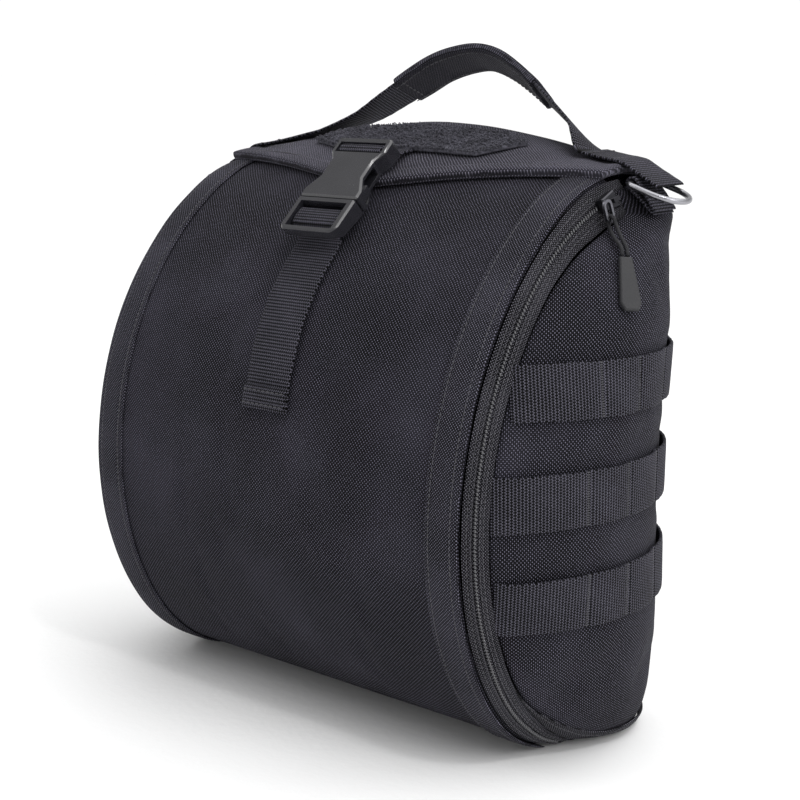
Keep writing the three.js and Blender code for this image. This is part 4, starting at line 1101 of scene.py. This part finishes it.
class BAG_OT_sides(bpy.types.Operator):
    """Bulged side panels, padded between their rows of webbing"""
    bl_idname = "bag.sides"
    bl_label = "Side panels"

    def execute(self, context):
        sizes = context.scene.bag_sizes
        heights = np.concatenate([[SEAM_FOOT], np.linspace(SEAM_FOOT + 0.001, SEAM_TOP, 64)])
        angles = np.concatenate([[-90], angle_at_height(heights[1:])])
        stations = np.linspace(0, 1, 37)
        wall = side_point(stations[None, :], angles[:, None])
        rim = wall[-1]
        rows = [wall]
        for rise in np.linspace(0, 1, 8)[1:]:
            front_y = front_curve(SEAM_TOP_ANGLE)[0] + 0.004
            row = vectors(mix(rim[:, 0], LID_HALF + LAY, rise),
                          mix(rim[:, 1], mix(front_y, BACK_DEPTH - SHOULDER_INSET, stations), rise),
                          mix(rim[:, 2], SHOULDER_HEIGHT, rise ** 1.25))
            rows.append(row[None])
        grid = np.concatenate(rows)
        out = outward_of(grid)
        held = edge_hold(*grid.shape[:2], depth=3)
        z = grid[..., 2]
        for middle in MOLLE_MIDDLES:
            held = np.maximum(held, np.clip(1 - (np.abs(z - middle) - MOLLE_WIDTH / 2) / 0.006, 0, 1))
        held = np.maximum(held, smoothstep(np.arange(len(grid)), 61, 65)[:, None])
        lift = ripple(grid, 12, 0.06, 0.0006) * (1 - held)
        for word, side in SIDES:
            piece = shell(f"side_padding_{word}", grid, out, -SIDE_WALL, lift, finish_of("side weave"), side)
            swell(piece, held, 3.5, sizes.swell_limit * 0.6, 0.006)
            finish_piece(smooth(piece), [f"side_panel_{word}"])
        for word, side in SIDES:
            seam = grid[:, -1] + (-0.0017, -0.0006, 0)
            piping = tube(f"back_piping_{word}", seam, 0.0024, finish_of("binding weave"), side)
            finish_piece(smooth(piping))
        back = side_point(0.97, angles[3:])
        edge = back + unit(vectors(1, 0.4, 0)) * 0.0002
        stitches("side_seam_stitches", both_sides(edge, (0, 1, 0)), sizes)
        return {"FINISHED"}


class BAG_OT_back(bpy.types.Operator):
    """Upright padded back panel"""
    bl_idname = "bag.back"
    bl_label = "Back panel"

    def execute(self, context):
        sizes = context.scene.bag_sizes
        shares = np.linspace(-1, 1, 47)
        tops = front_spot(shares * LID_HALF, LID_BACK_ANGLE)[0][:, 2] - LID_ROLL - 2 * CLEARANCE
        z = mix(CLEARANCE, tops[None, :], np.linspace(0, 1, 53)[:, None])
        grid = vectors(shares[None, :] * BACK_HALF, back_y(z), z)
        out = np.broadcast_to((0.0, 1.0, 0.0), grid.shape)
        held = edge_hold(*grid.shape[:2], depth=4)
        lift = ripple(grid, 21, 0.09, 0.0005) * (1 - held)
        piece = shell("back_padding", grid, out, -BACK_WALL, lift, finish_of("side weave"))
        swell(piece, held, 3.0, sizes.swell_limit * 0.6, 0.004)
        finish_piece(smooth(piece), ["back_panel"])
        seam = vectors(shares * BACK_HALF, BACK_DEPTH - 0.0024, tops + 0.0005)
        finish_piece(smooth(tube("back_piping_top", seam, 0.0023, finish_of("binding weave"))))
        loop = loop_inside(grid, 3, 3)
        stitches("back_stitches", [line(loop + (0, 0.0002, 0), (0, 0, 1))], sizes)
        return {"FINISHED"}


class BAG_OT_lid(bpy.types.Operator):
    """Padded lid with a folded hem and its row of stitches"""
    bl_idname = "bag.lid"
    bl_label = "Lid"

    def execute(self, context):
        sizes = context.scene.bag_sizes
        x = LID_HALF * np.concatenate([[-1, -0.995, -0.985], np.linspace(-0.97, 0.97, 61), [0.985, 0.995, 1]])
        shares = np.concatenate([[0, 0.006, 0.02], np.linspace(0.04, 1, 30)])
        angle = mix(lid_edge_angle(x)[None, :], LID_BACK_ANGLE, shares[:, None])
        at, out = front_spot(x[None, :], angle)
        rolls_at, rolls_out = [], []
        for turn in np.radians((18, 36, 54, 72, 90)):
            centre = at[-1] - out[-1] * LID_ROLL
            away = np.broadcast_to((0.0, np.sin(turn), np.cos(turn)), centre.shape)
            rolls_at.append(centre + away * LID_ROLL)
            rolls_out.append(away)
        grid = np.concatenate([at, np.array(rolls_at)])
        away = np.concatenate([out, np.array(rolls_out)])
        uv = grid_uv(grid)
        from_edge = np.minimum(uv[..., 1], LID_HALF - np.abs(grid[..., 0]))
        hem = 1 - smoothstep(from_edge, sizes.hem_width - 0.0015, sizes.hem_width)
        groove = np.exp(-((from_edge - sizes.hem_width) / 0.0011) ** 2)
        held = np.clip(1 - (from_edge - sizes.hem_width) / 0.012, 0, 1)
        held = np.maximum(held, smoothstep(np.arange(len(grid)), 28, 32)[:, None])
        strap = (np.abs(grid[..., 0]) < sizes.strap_width / 2 + 0.002) & (np.arange(len(grid))[:, None] < 20)
        held = np.where(strap, 1, held)
        high = LID_TOP + (HEM_STEP + 0.0006) * hem - 0.0007 * groove
        high = high + ripple(grid, 33, 0.05, 0.00035) * (1 - hem)
        low = LID_LIFT - 0.001 * hem
        piece = shell("lid_padding", grid, away, low, high, finish_of("lid weave"))
        swell(piece, held, 3.0, sizes.swell_limit * 0.4, 0.004)
        finish_piece(smooth(piece), ["lid"])
        rows = []
        front_x = np.linspace(-LID_HALF + sizes.hem_width, LID_HALF - sizes.hem_width, 120)
        front_angle = lid_edge_angle(front_x) + np.degrees(sizes.hem_width / UPPER_REACH)
        spot, up = front_spot(front_x, front_angle)
        rows.append(line(spot + up * (LID_TOP - THREAD_REST), (0, 1, 0)))
        edge_angle = np.linspace(front_angle[-1], LID_BACK_ANGLE, 40)
        spot, up = front_spot(LID_HALF - sizes.hem_width, edge_angle)
        rows += both_sides(spot + up * (LID_TOP - THREAD_REST))
        stitches("lid_stitches", rows, sizes)
        return {"FINISHED"}


class BAG_OT_zips(bpy.types.Operator):
    """Zip tapes between the front and the sides, with their teeth, sliders and wires"""
    bl_idname = "bag.zips"
    bl_label = "Zips"

    def execute(self, context):
        sizes = context.scene.bag_sizes
        angles = np.concatenate([[-90, -87, -84], curve_angles(-82, ZIP_TOP_ANGLE, 0.003)])
        shares = np.array([
            0, 0.05, 0.1, 0.16, 0.22, 0.26, 0.3, 0.34, 0.38, 0.44, 0.5, 0.56, 0.6, 0.64, 0.7, 0.78, 0.86, 0.93,
            1.035])
        grid = band_point(angles[:, None], np.broadcast_to(shares, (len(angles), len(shares))))
        foot = []
        for station in (0.86, 0.72, 0.55, 0.35, 0.15):
            inner = side_point(station, -90) + (-0.0005, 0, -0.0014)
            outer = vectors(HALF + BAND_STEP, inner[1], BAND_FOOT)
            foot.append(mix(outer, inner, shares[:, None]))
        grid = np.concatenate([np.array(foot), grid])
        rise = np.clip((grid[..., 2] - SEAM_TOP) / (SHOULDER_HEIGHT - SEAM_TOP), 0, 1) ** 0.8
        grid[..., 0] = np.minimum(grid[..., 0], mix(SEAM_X, LID_HALF + LAY, rise))
        tuck = np.concatenate([np.zeros(len(foot)), smoothstep(angles, 65, 71)])
        grid[:, -1] += tuck[:, None] * np.array((-0.001, 0.007, -0.001))
        out = outward_of(grid)
        lips = 0.0011 * (np.exp(-((shares - 0.27) / 0.05) ** 2) + np.exp(-((shares - 0.72) / 0.06) ** 2))
        edge = 0.0016 * smoothstep(shares, 0.82, 0.93)
        high = (lips + edge)[None, :] * np.ones((len(grid), 1))
        teeth, threads = [], []
        stop = angles[angles < 65.5]
        for share, shift in ((0.455, 0.0), (0.53, 0.5)):
            spot = band_point(stop[stop > -80], share)
            rise = band_outward(stop[stop > -80], share)
            across = unit(band_point(stop[stop > -80], share + 0.05) - spot)
            run = spot + rise * 0.0007
            step = unit(run[1] - run[0]) * sizes.tooth_pitch * shift
            teeth += [line(run + step, across, side) for _, side in SIDES]
        for share in (0.17, 0.33, 0.66, 0.8):
            spot = band_point(stop, share)
            rise = band_outward(stop, share)
            lift = np.interp(share, shares, lips + edge)
            threads += both_sides(spot + rise * (lift + THREAD_REST), (0, 0, 1))
        for word, side in SIDES:
            piece = shell(f"zip_cloth_{word}", grid, out, -0.0012, high, finish_of("zip tape weave"), side)
            finish_piece(smooth(piece), [f"zip_tape_{word}"])
            slider = rounded_copy(f"slider_{word}", f"zip_slider_{word}", 0.0006, 3, finish_of("slider metal"))
            finish_piece(slider, [f"zip_slider_{word}"])
            wire = rounded_copy(f"pull_wire_{word}", f"zip_pull_{word}", 0.00045, 3, finish_of("wire metal"))
            finish_piece(wire, [f"zip_pull_{word}"])
        rows = []
        for angle in np.linspace(-40, -90, 26)[:-1]:
            y, z = seam_point(angle)[1:]
            inward = -front_outward(angle)[1:] * smoothstep(-angle, 42, 84)
            rows.append([(y + inward[0] * w, max(z + inward[1] * w, SEAM_FOOT)) for w in FOOT_TAPE])
        for station in np.linspace(0, 1, 40):
            y = side_point(station, -90)[1]
            rows.append([(y, SEAM_FOOT + w) for w in FOOT_TAPE])
        rows = np.array(rows)
        strip = side_at(rows[..., 0], rows[..., 1])
        away = outward_of(strip)
        corner = smoothstep(np.arange(len(strip)), len(strip) - 12, len(strip) - 1)[:, None]
        body = 0.0012 + 0.0007 * np.array([0, 0.3, 0.2, 0, 0, 0.2, 1, 1])[None, :] + 0.0003 * corner
        for word, side in SIDES:
            piece = shell(f"foot_tape_{word}", strip, away, 0.0002, body, finish_of("zip tape weave"), side)
            finish_piece(smooth(piece))
        threads += both_sides(strip[4:, 4] + away[4:, 4] * (body[4:, 4:5] + THREAD_REST), (0, 0, 1))
        piece = beads("zip_teeth", teeth, sizes.tooth_pitch, sizes.tooth_pitch * 0.58, 0.0017, 0.0013,
                      finish_of("zip coil"))
        finish_piece(piece, ["zip_coil_right", "zip_coil_left"])
        stitches("zip_stitches", threads, sizes)
        return {"FINISHED"}


class BAG_OT_side_rows(bpy.types.Operator):
    """Rows of webbing tacked to the sides"""
    bl_idname = "bag.side_rows"
    bl_label = "Side webbing"

    def execute(self, context):
        sizes = context.scene.bag_sizes
        stations = np.linspace(0.0, 0.985, 160)
        sunk = 0.0016 * (1 - smoothstep(stations, 0.0, 0.04))
        tacks = []
        for number, middle in enumerate(MOLLE_MIDDLES, start=1):
            low, mid, high = (side_point(stations, angle_at_height(middle + share * MOLLE_WIDTH))
                              for share in (-0.5, 0, 0.5))
            across = unit(high - low)
            along = unit(np.gradient(mid, axis=0))
            out = unit(np.cross(along, across))
            out = np.where((out[:, :1] < 0), -out, out)
            across = square_to(across, along)
            puff = np.zeros(len(stations))
            for start, end in zip(MOLLE_TACKS, MOLLE_TACKS[1:]):
                share = np.clip((stations - start) / (end - start), 0, 1)
                puff += np.sin(np.pi * share) ** 0.7 * np.where((share > 0) & (share < 1), 1, 0)
                puff -= 0.5 * np.exp(-((stations - end) / 0.009) ** 2)
            path = mid + out * (LAY + 0.0009 + 0.0012 * puff - sunk)[:, None]
            for word, side in SIDES:
                piece = webbing(f"side_webbing_{number}_{word}", path, across, MOLLE_WIDTH, MOLLE_THICKNESS,
                                sizes, side)
                finish_piece(piece, [f"molle_{number}_{word}"])
            for tack in MOLLE_TACKS[1:-1]:
                k = int(np.argmin(np.abs(stations - tack)))
                reach = np.linspace(-0.47, 0.47, 40)[:, None] * MOLLE_WIDTH
                run = mid[k] + across[k] * reach + out[k] * (LAY + 0.0014)
                tacks += both_sides(run, along[k])
        piece = beads("side_webbing_tacks", tacks, 0.0011, 0.0008, 0.0026, 0.0008, finish_of("thread"))
        finish_piece(piece)
        return {"FINISHED"}


def handle_frames():
    """The handle's middle line from tail to tail, with the direction across it."""
    foot = HANDLE_SPAN / 2
    seat = lid_top_at(foot) + LAY + WEBBING / 2
    arch = np.array(ARCH)
    knots = vectors(arch[:, 0] * foot, HANDLE_SEAT + arch[:, 2] * HANDLE_LEAN, seat + arch[:, 1] * HANDLE_RISE)
    run = catmull(np.hstack([knots, arch[:, 3:] * 0.02]))
    spots, lean = run[:, :3], HANDLE_TWIST * run[:, 3] / 0.02
    edge = lid_top_at(LID_HALF) + LAY + WEBBING / 2
    tail = [(mix(foot, LID_HALF, s), HANDLE_SEAT, lid_top_at(mix(foot, LID_HALF, s)) + LAY + WEBBING / 2)
            for s in (0.5, 1)]
    tail += [(mix(LID_HALF, TAIL_REACH, s), HANDLE_SEAT, edge - TAIL_DROP * s) for s in (0.33, 0.66, 1)]
    tail = catmull(np.vstack([spots[-1], tail]), 8)[1:]
    left = tail[::-1] * (-1, 1, 1)
    path = np.vstack([left, spots, tail])
    lean = np.concatenate([np.zeros(len(left)), lean, np.zeros(len(tail))])
    turn = np.radians(lean)
    return path, vectors(0, np.cos(turn), -np.sin(turn))


class BAG_OT_handle(bpy.types.Operator):
    """Carry handle with the sleeve sewn round its middle"""
    bl_idname = "bag.handle"
    bl_label = "Handle"

    def execute(self, context):
        sizes = context.scene.bag_sizes
        path, across = handle_frames()
        piece = webbing("handle_webbing", path, across, sizes.handle_width, WEBBING, sizes)
        finish_piece(piece, ["handle_strap"])

        inside = (path[:, 0] > -0.0365) & (path[:, 0] < 0.0575)
        reach, mid, sideways = resampled(path[inside], 0.0015, across[inside])
        along, sideways, out = directions(mid, sideways)
        half = sizes.handle_width / 2 + 0.0014
        thick = WEBBING / 2 + 0.0016
        swelling = 1 + 0.12 * np.sin(reach * 130) + 0.1 * np.sin(reach * 310 + 2)
        a, b = np.array(SECTION).T
        lift = thick * b * np.where(np.abs(a) < 0.9, swelling[:, None], 1)
        spread = half * a * (1 + 0.012 * np.sin(reach * 210))[:, None]
        points = mid[:, None] + sideways[:, None] * spread[..., None] + out[:, None] * lift[..., None]
        ends = [mid[row] + (points[row] - mid[row]) * 0.82 for row in (0, -1)]
        points = np.concatenate([ends[0][None], points, ends[1][None]])
        reach = np.concatenate([[reach[0]], reach, [reach[-1]]])
        sleeve = swept("handle_sleeve", points, (a * half, reach[:, None]), finish_of("sleeve weave"))
        finish_piece(smooth(sleeve), ["handle_wrap"])
        rows = [line(mid + sideways * share * sizes.handle_width + out * (thick + 0.0002), (0, 1, 0))
                for share in (-0.42, 0.42)]
        for k in (3, len(mid) - 4):
            reach_across = np.linspace(-0.42, 0.42, 12)[:, None] * sizes.handle_width
            run = mid[k] + sideways[k] * reach_across + out[k] * (thick + 0.0002)
            rows.append(line(run, along[k]))
        for side in (1, -1):
            for place in (0.108, 0.122):
                height = lid_top_at(place) + LAY + WEBBING + 0.0002
                reach_across = np.linspace(-0.42, 0.42, 12) * sizes.handle_width
                run = vectors(side * place, HANDLE_SEAT + reach_across, height)
                rows.append(line(run, (1, 0, 0)))
        stitches("handle_stitches", rows, sizes)
        return {"FINISHED"}


def buckle_place():
    """The buckle's underside at its foot, and the directions along it and up from it."""
    def over(angle, lift):
        at, out = front_spot(0.0, angle)
        return at + out * lift
    foot = over(*BUCKLE_FOOT)
    head = over(BUCKLE_HEAD[0], LID_TOP + BUCKLE_HEAD[1])
    along = unit(head - foot)
    return foot, along, np.array((0, -along[2], along[1]))


def buckle_spot(along, depth):
    foot, ahead, up = buckle_place()
    return foot + ahead * along + up * (BUCKLE_THICKNESS - depth)


def level(path):
    """The direction across a strap that lies square to the bag's middle plane."""
    return np.broadcast_to((1.0, 0, 0), path.shape)


class BAG_OT_straps(bpy.types.Operator):
    """Closing strap on the front and the one on the lid, threaded through the buckle"""
    bl_idname = "bag.straps"
    bl_label = "Closing straps"

    def execute(self, context):
        sizes = context.scene.bag_sizes
        angles = np.concatenate([[15], np.arange(18, 43.5, 3)])
        spot, out = front_spot(np.full(len(angles), 0.015), angles)
        lift = LAY + WEBBING / 2 + 0.0012 * np.sin(np.pi * np.clip((angles - 17) / 26, 0, 1))
        front = spot + out * lift[:, None]
        front[:, 0] = 0
        over = 0.0034 - CLEARANCE - WEBBING / 2 - 0.00015
        under = BUCKLE_THICKNESS + CLEARANCE + WEBBING / 2
        run = (
            (0.0022, under + 0.0003), (0.0049, under - 0.0006), (0.0055, under - 0.003), (0.0057, over + 0.003),
            (0.0063, over + 0.0007), (0.0084, over), (0.014, over), (0.0161, over + 0.0007),
            (0.0168, over + 0.003), (0.017, under - 0.003), (0.0176, under - 0.0006),
            (0.0203, under + 0.0003), (0.0256, under + 0.0004),
        )
        path = catmull(np.vstack([front, [buckle_spot(*spot) for spot in run]]), 12)
        piece = webbing("front_strap_webbing", path, level(path), sizes.strap_width, WEBBING, sizes)
        finish_piece(piece, ["front_strap"])

        fold = catmull(front[:3], 8) + out[0] * (WEBBING + 0.0002)
        reach = reach_of(fold)
        fold = fold[reach < 0.0125]
        hem = webbing("front_strap_fold", fold, level(fold), sizes.strap_width - 0.0004, WEBBING, sizes)
        finish_piece(hem)

        on_lid, up = patch_spot(np.array([0.3, 0.12, 0.0]), 0.5)
        on_lid = on_lid + up * (LID_TOP + LAY + WEBBING / 2)
        on_lid[:, 0] = 0
        low, high = TOP_SLOT
        run = (
            (0.069, under + 0.0024), (high + 0.0011, under + 0.0007), (high - 0.0015, under - 0.0004),
            (high - 0.0011, under - 0.003), (high - 0.001, 0.0024), (high - 0.0017, 0.0011),
            (low + 0.0017, 0.0011), (low + 0.001, 0.0024), (low + 0.0014, under - 0.003),
            (low + 0.0015, under - 0.0004),
        )
        path = catmull(np.vstack([on_lid, [buckle_spot(*spot) for spot in run]]), 12)
        piece = webbing("lid_strap_webbing", path, level(path), sizes.strap_width, WEBBING, sizes)
        finish_piece(piece, ["flap_strap"])

        rows = []
        x = np.linspace(-0.43, 0.43, 14) * sizes.strap_width
        for place in (0.0025, 0.0085):
            k = int(np.argmin(np.abs(reach[:len(fold)] - place)))
            rows.append(line(vectors(x, fold[k, 1], fold[k, 2]) + out[0] * (WEBBING / 2 + 0.0003), (0, 0, 1)))
        stitches("strap_stitches", rows, sizes)
        return {"FINISHED"}


class BAG_OT_buckle(bpy.types.Operator):
    """Side-release buckle: socket and plug"""
    bl_idname = "bag.buckle"
    bl_label = "Buckle"

    def execute(self, context):
        foot, along, up = (Vector(v) for v in buckle_place())
        foot.y -= BASE_MIDDLE

        def thinned(spot):
            """Thins the plug's end from below to a rounded bar."""
            reach = (spot - foot).dot(along)
            depth = BUCKLE_THICKNESS - (spot - foot).dot(up)
            lift = 0.0058 * max(0.0, 1 - max(reach, 0) / 0.011) ** 1.3
            return spot + up * (lift * min(1.0, max(0.0, depth / BUCKLE_THICKNESS)))

        plastic = finish_of("buckle plastic")
        parts = (("buckle_body", "buckle_socket", None), ("buckle_latch", "buckle_plug", thinned))
        for name, node, shape in parts:
            piece = rounded_copy(name, node, 0.0011, 4, plastic, corner=0.0016, up=up, shape=shape)
            finish_piece(piece, [node])
        path = [buckle_spot(0.058, 0.0039) + (x, 0, 0) for x in np.linspace(-0.0162, 0.0162, 9)]
        finish_piece(tube("buckle_bar", path, 0.0014, plastic))
        return {"FINISHED"}


def pile_tree():
    """Nodes that stand small loops of yarn all over a surface."""
    given, add, close = new_tree(
        "loop pile", ("Backing", "Geometry"), ("Density", "Float"), ("Loop Size", "Float"), ("Seed", "Int"),
        ("Finish", "Material"))
    seed = given["Seed"]
    spots = add("GeometryNodeDistributePointsOnFaces",
                {"Mesh": given["Backing"], "Density": given["Density"], "Seed": seed})
    arc = add("GeometryNodeCurveArc", {"Resolution": 6, "Radius": 0.5, "Start Angle": np.radians(-35),
                                       "Sweep Angle": np.radians(250)})
    profile = add("GeometryNodeCurvePrimitiveCircle", {"Resolution": 4, "Radius": 0.15})
    yarn = add("GeometryNodeCurveToMesh", {"Curve": arc["Curve"], "Profile Curve": profile["Curve"]})
    loop = add("GeometryNodeTransform", {"Geometry": yarn[0], "Rotation": (np.radians(90), 0, 0),
                                         "Translation": (0, 0, 0.25)})
    spin = add("FunctionNodeRandomValue", {0: (-0.5, -0.5, 0), 1: (0.5, 0.5, 2 * np.pi), "Seed": seed},
               data_type="FLOAT_VECTOR")
    spun = add("FunctionNodeEulerToRotation", {0: spin[0]})
    turn = add("FunctionNodeRotateRotation", {"Rotation": spots["Rotation"], "Rotate By": spun[0]},
               rotation_space="LOCAL")
    vary = add("FunctionNodeRandomValue", {2: 0.7, 3: 1.35, "Seed": seed})
    size = add("ShaderNodeMath", {0: given["Loop Size"], 1: vary[1]}, operation="MULTIPLY")
    return close(add("GeometryNodeInstanceOnPoints", {
        "Points": spots["Points"], "Instance": loop[0], "Rotation": turn[0], "Scale": size[0]}))


class BAG_OT_patch(bpy.types.Operator):
    """Six-sided patch of loop pile on the lid"""
    bl_idname = "bag.patch"
    bl_label = "Loop patch"

    def execute(self, context):
        sizes = context.scene.bag_sizes
        rows = np.linspace(0, 1, 22)
        across = np.linspace(0, 1, 70)
        grid, out = patch_spot(rows[:, None], across[None, :])
        low = LID_TOP + LAY
        patch = shell("patch_backing", grid, out, low, low + PATCH_THICKNESS, finish_of("loop pile"))
        finish_piece(patch, ["loop_patch"])
        top = grid + out * (low + 0.0019)
        n = np.arange(top.shape[0] * top.shape[1]).reshape(top.shape[:2])
        mesh = bpy.data.meshes.new("pile_backing")
        mesh.from_pydata(to_frame(top).tolist(), [], [face[:1] + face[:0:-1] for face in quads(n)])
        mesh.update()
        carrier = link(bpy.data.objects.new("pile_backing", mesh))
        pile = run_nodes(carrier, pile_tree(), "patch_pile", {
            "Density": PILE_DENSITY, "Loop Size": sizes.loop_size, "Seed": 7, "Finish": finish_of("loop pile")})
        finish_piece(pile)
        edge = loop_inside(grid + out * (low + 0.0026), 1, 2)
        stitches("patch_stitches", [line(edge, (0, 1, 0))], sizes)
        return {"FINISHED"}


class BAG_OT_rings(bpy.types.Operator):
    """Shoulder rings and the tabs that hold them"""
    bl_idname = "bag.rings"
    bl_label = "Shoulder rings"

    def execute(self, context):
        sizes = context.scene.bag_sizes
        drop = np.radians(RING_DROP)
        half = RING_WIDTH / 2 - RING_WIRE / 2
        bow = RING_REACH - RING_WIDTH / 2 + RING_WIRE / 2
        bend = RING_CORNER
        corner = np.linspace(0, 1, 7)[1:-1] * np.pi / 2
        outline = [(0.0, y) for y in np.linspace(-half + bend, half - bend, 12)]
        outline += [(bend - bend * np.cos(a), half - bend + bend * np.sin(a)) for a in corner]
        outline += [(x, half) for x in np.linspace(bend, bow, 5)]
        outline += [(bow + half * np.sin(a), half * np.cos(a)) for a in np.linspace(0, np.pi, 30)[1:-1]]
        outline += [(x, -half) for x in np.linspace(bow, bend, 5)]
        outline += [(bend - bend * np.sin(a), -half + bend - bend * np.cos(a)) for a in corner]
        outline = np.array(outline)
        bar = np.array(RING_BAR)
        path = bar + vectors(outline[:, 0] * np.cos(drop), outline[:, 1], -outline[:, 0] * np.sin(drop))
        rim = side_point(0.3, SEAM_TOP_ANGLE)
        foot = np.array((rim[0] + 0.0004 - bar[0], rim[2] + 0.0016 - bar[2]))
        slope = np.arctan2(foot[1], foot[0])
        radius = 0.0017 + CLEARANCE + WEBBING / 2
        turns = np.linspace(slope + np.pi / 2, slope + np.pi * 1.5, 14)
        wrap = np.stack([radius * np.cos(turns), radius * np.sin(turns)], axis=1)
        end = foot + np.array((0.0012, 0.0004))
        run = np.vstack([end, mix(end, wrap[0], 0.6), wrap, mix(foot, wrap[-1], 0.6), foot + (0.0004, -0.0012)])
        fold = catmull(vectors(bar[0] + run[:, 0], bar[1] + BASE_MIDDLE, bar[2] + run[:, 1]), 6)
        for word, side in SIDES:
            ring = tube(f"ring_wire_{word}", path, RING_WIRE / 2, finish_of("plated metal"), side,
                        closed=True, sectors=14, shifted=False)
            finish_piece(ring, [f"d_ring_{word}"], body=f"ring_{word}")
            tab = webbing(f"ring_webbing_{word}", fold, np.broadcast_to((0, 1.0, 0), fold.shape), TAB_WIDTH,
                          WEBBING * 0.9, sizes, side)
            finish_piece(tab, [f"ring_tab_{word}"])
        return {"FINISHED"}


class BAG_OT_pulls(bpy.types.Operator):
    """Pull cords looped through the zips' wires, and their moulded tabs"""
    bl_idname = "bag.pulls"
    bl_label = "Zip pulls"

    def execute(self, context):
        for word, side in SIDES:
            points = catmull(np.array(CORD_POINTS) * 0.001, 12)
            _, path = resampled(points, 0.0015)
            cord = tube(f"pull_line_{word}", path, CORD_DIAMETER / 2, finish_of("braid"), side, shifted=False)
            path = path * (side, 1, 1)
            tab = rounded_copy(f"pull_grip_{word}", f"pull_tab_{word}", 0.0009, 3, finish_of("tab rubber"))
            finish_piece(tab, [f"pull_tab_{word}"])
            finish_piece(cord, [f"pull_cord_{word}"])
        return {"FINISHED"}


class BAG_OT_stage(bpy.types.Operator):
    """Pale floor, soft studio light and the camera"""
    bl_idname = "bag.stage"
    bl_label = "Stage"

    def execute(self, context):
        scene = context.scene
        half = 40.0
        mesh = bpy.data.meshes.new("floor")
        corners = [(-half, -half, 0), (half, -half, 0), (half, half, 0), (-half, half, 0)]
        mesh.from_pydata(corners, [], [(0, 1, 2, 3)])
        mesh.materials.append(finish_of("pale floor"))
        floor = link(bpy.data.objects.new("floor", mesh))
        world = bpy.data.worlds.new("studio")
        world.use_nodes = True
        tree = world.node_tree
        aim = tree.nodes.new("ShaderNodeTexCoord")
        rise = tree.nodes.new("ShaderNodeSeparateXYZ")
        dome = tree.nodes.new("ShaderNodeMapRange")
        dome.interpolation_type = "SMOOTHSTEP"
        for name, value in zip(("From Min", "From Max", "To Min", "To Max"), (0.1, 0.4, 1.05, 0.45)):
            dome.inputs[name].default_value = value
        tree.links.new(aim.outputs["Generated"], rise.inputs[0])
        tree.links.new(rise.outputs["Z"], dome.inputs["Value"])
        tree.links.new(dome.outputs[0], tree.nodes["Background"].inputs["Strength"])
        tree.nodes["Background"].inputs["Color"].default_value = (1, 1, 1, 1)
        scene.world = world
        lamps = (
            ("key", (-0.9, -1.1, 1.7), 0.9, 7.0),
            ("side", (1.9, -0.1, 1.1), 0.9, 12.0),
            ("glint", (0.75, -0.35, 1.15), 0.09, 2.2),
        )
        for name, place, size, power in lamps:
            data = bpy.data.lights.new(name, "AREA")
            data.size = size
            data.energy = power
            lamp = link(bpy.data.objects.new(name, data))
            lamp.location = place
            lamp.rotation_euler = (Vector((0, 0, 0.15)) - Vector(place)).to_track_quat("-Z", "Y").to_euler()
        data = bpy.data.lights.new("top", "SUN")
        data.energy = 2.1
        data.angle = np.radians(80)
        lamp = link(bpy.data.objects.new("top", data))
        lamp.rotation_euler = (np.radians(-14), np.radians(10), 0)
        data = bpy.data.cameras.new("camera")
        data.sensor_width = 36
        data.lens = CAMERA_LENS
        camera = link(bpy.data.objects.new("camera", data))
        camera.location = CAMERA_PLACE
        camera.rotation_euler = (np.radians(90 - CAMERA_DOWN), 0, np.radians(CAMERA_TURN))
        scene.camera = camera
        scene.view_settings.view_transform = "Standard"
        return {"FINISHED"}


PIECES = (
    BAG_OT_stage, BAG_OT_pulls, BAG_OT_front, BAG_OT_binding, BAG_OT_sides, BAG_OT_back, BAG_OT_lid,
    BAG_OT_zips, BAG_OT_side_rows, BAG_OT_handle, BAG_OT_straps, BAG_OT_buckle, BAG_OT_patch, BAG_OT_rings,
)


class BAG_PT_panel(bpy.types.Panel):
    """Lists the bag's sizes, colours and pieces"""
    bl_idname = "BAG_PT_panel"
    bl_label = "Helmet bag"
    bl_space_type = "VIEW_3D"
    bl_region_type = "UI"
    bl_category = "Helmet Bag"

    def draw(self, context):
        for settings in (context.scene.bag_sizes, context.scene.bag_colours):
            for name in settings.__annotations__:
                self.layout.prop(settings, name)
        for piece in PIECES:
            self.layout.operator(piece.bl_idname)


def register():
    for kind in (BagSizes, BagColours, *PIECES, BAG_PT_panel):
        bpy.utils.register_class(kind)
    bpy.types.Scene.bag_sizes = bpy.props.PointerProperty(type=BagSizes)
    bpy.types.Scene.bag_colours = bpy.props.PointerProperty(type=BagColours)


def unregister():
    del bpy.types.Scene.bag_colours
    del bpy.types.Scene.bag_sizes
    for kind in (BAG_PT_panel, *reversed(PIECES), BagColours, BagSizes):
        bpy.utils.unregister_class(kind)


def main():
    register()
    for piece in PIECES:
        group, name = piece.bl_idname.split(".")
        getattr(getattr(bpy.ops, group), name)()


if __name__ == "__main__":
    main()
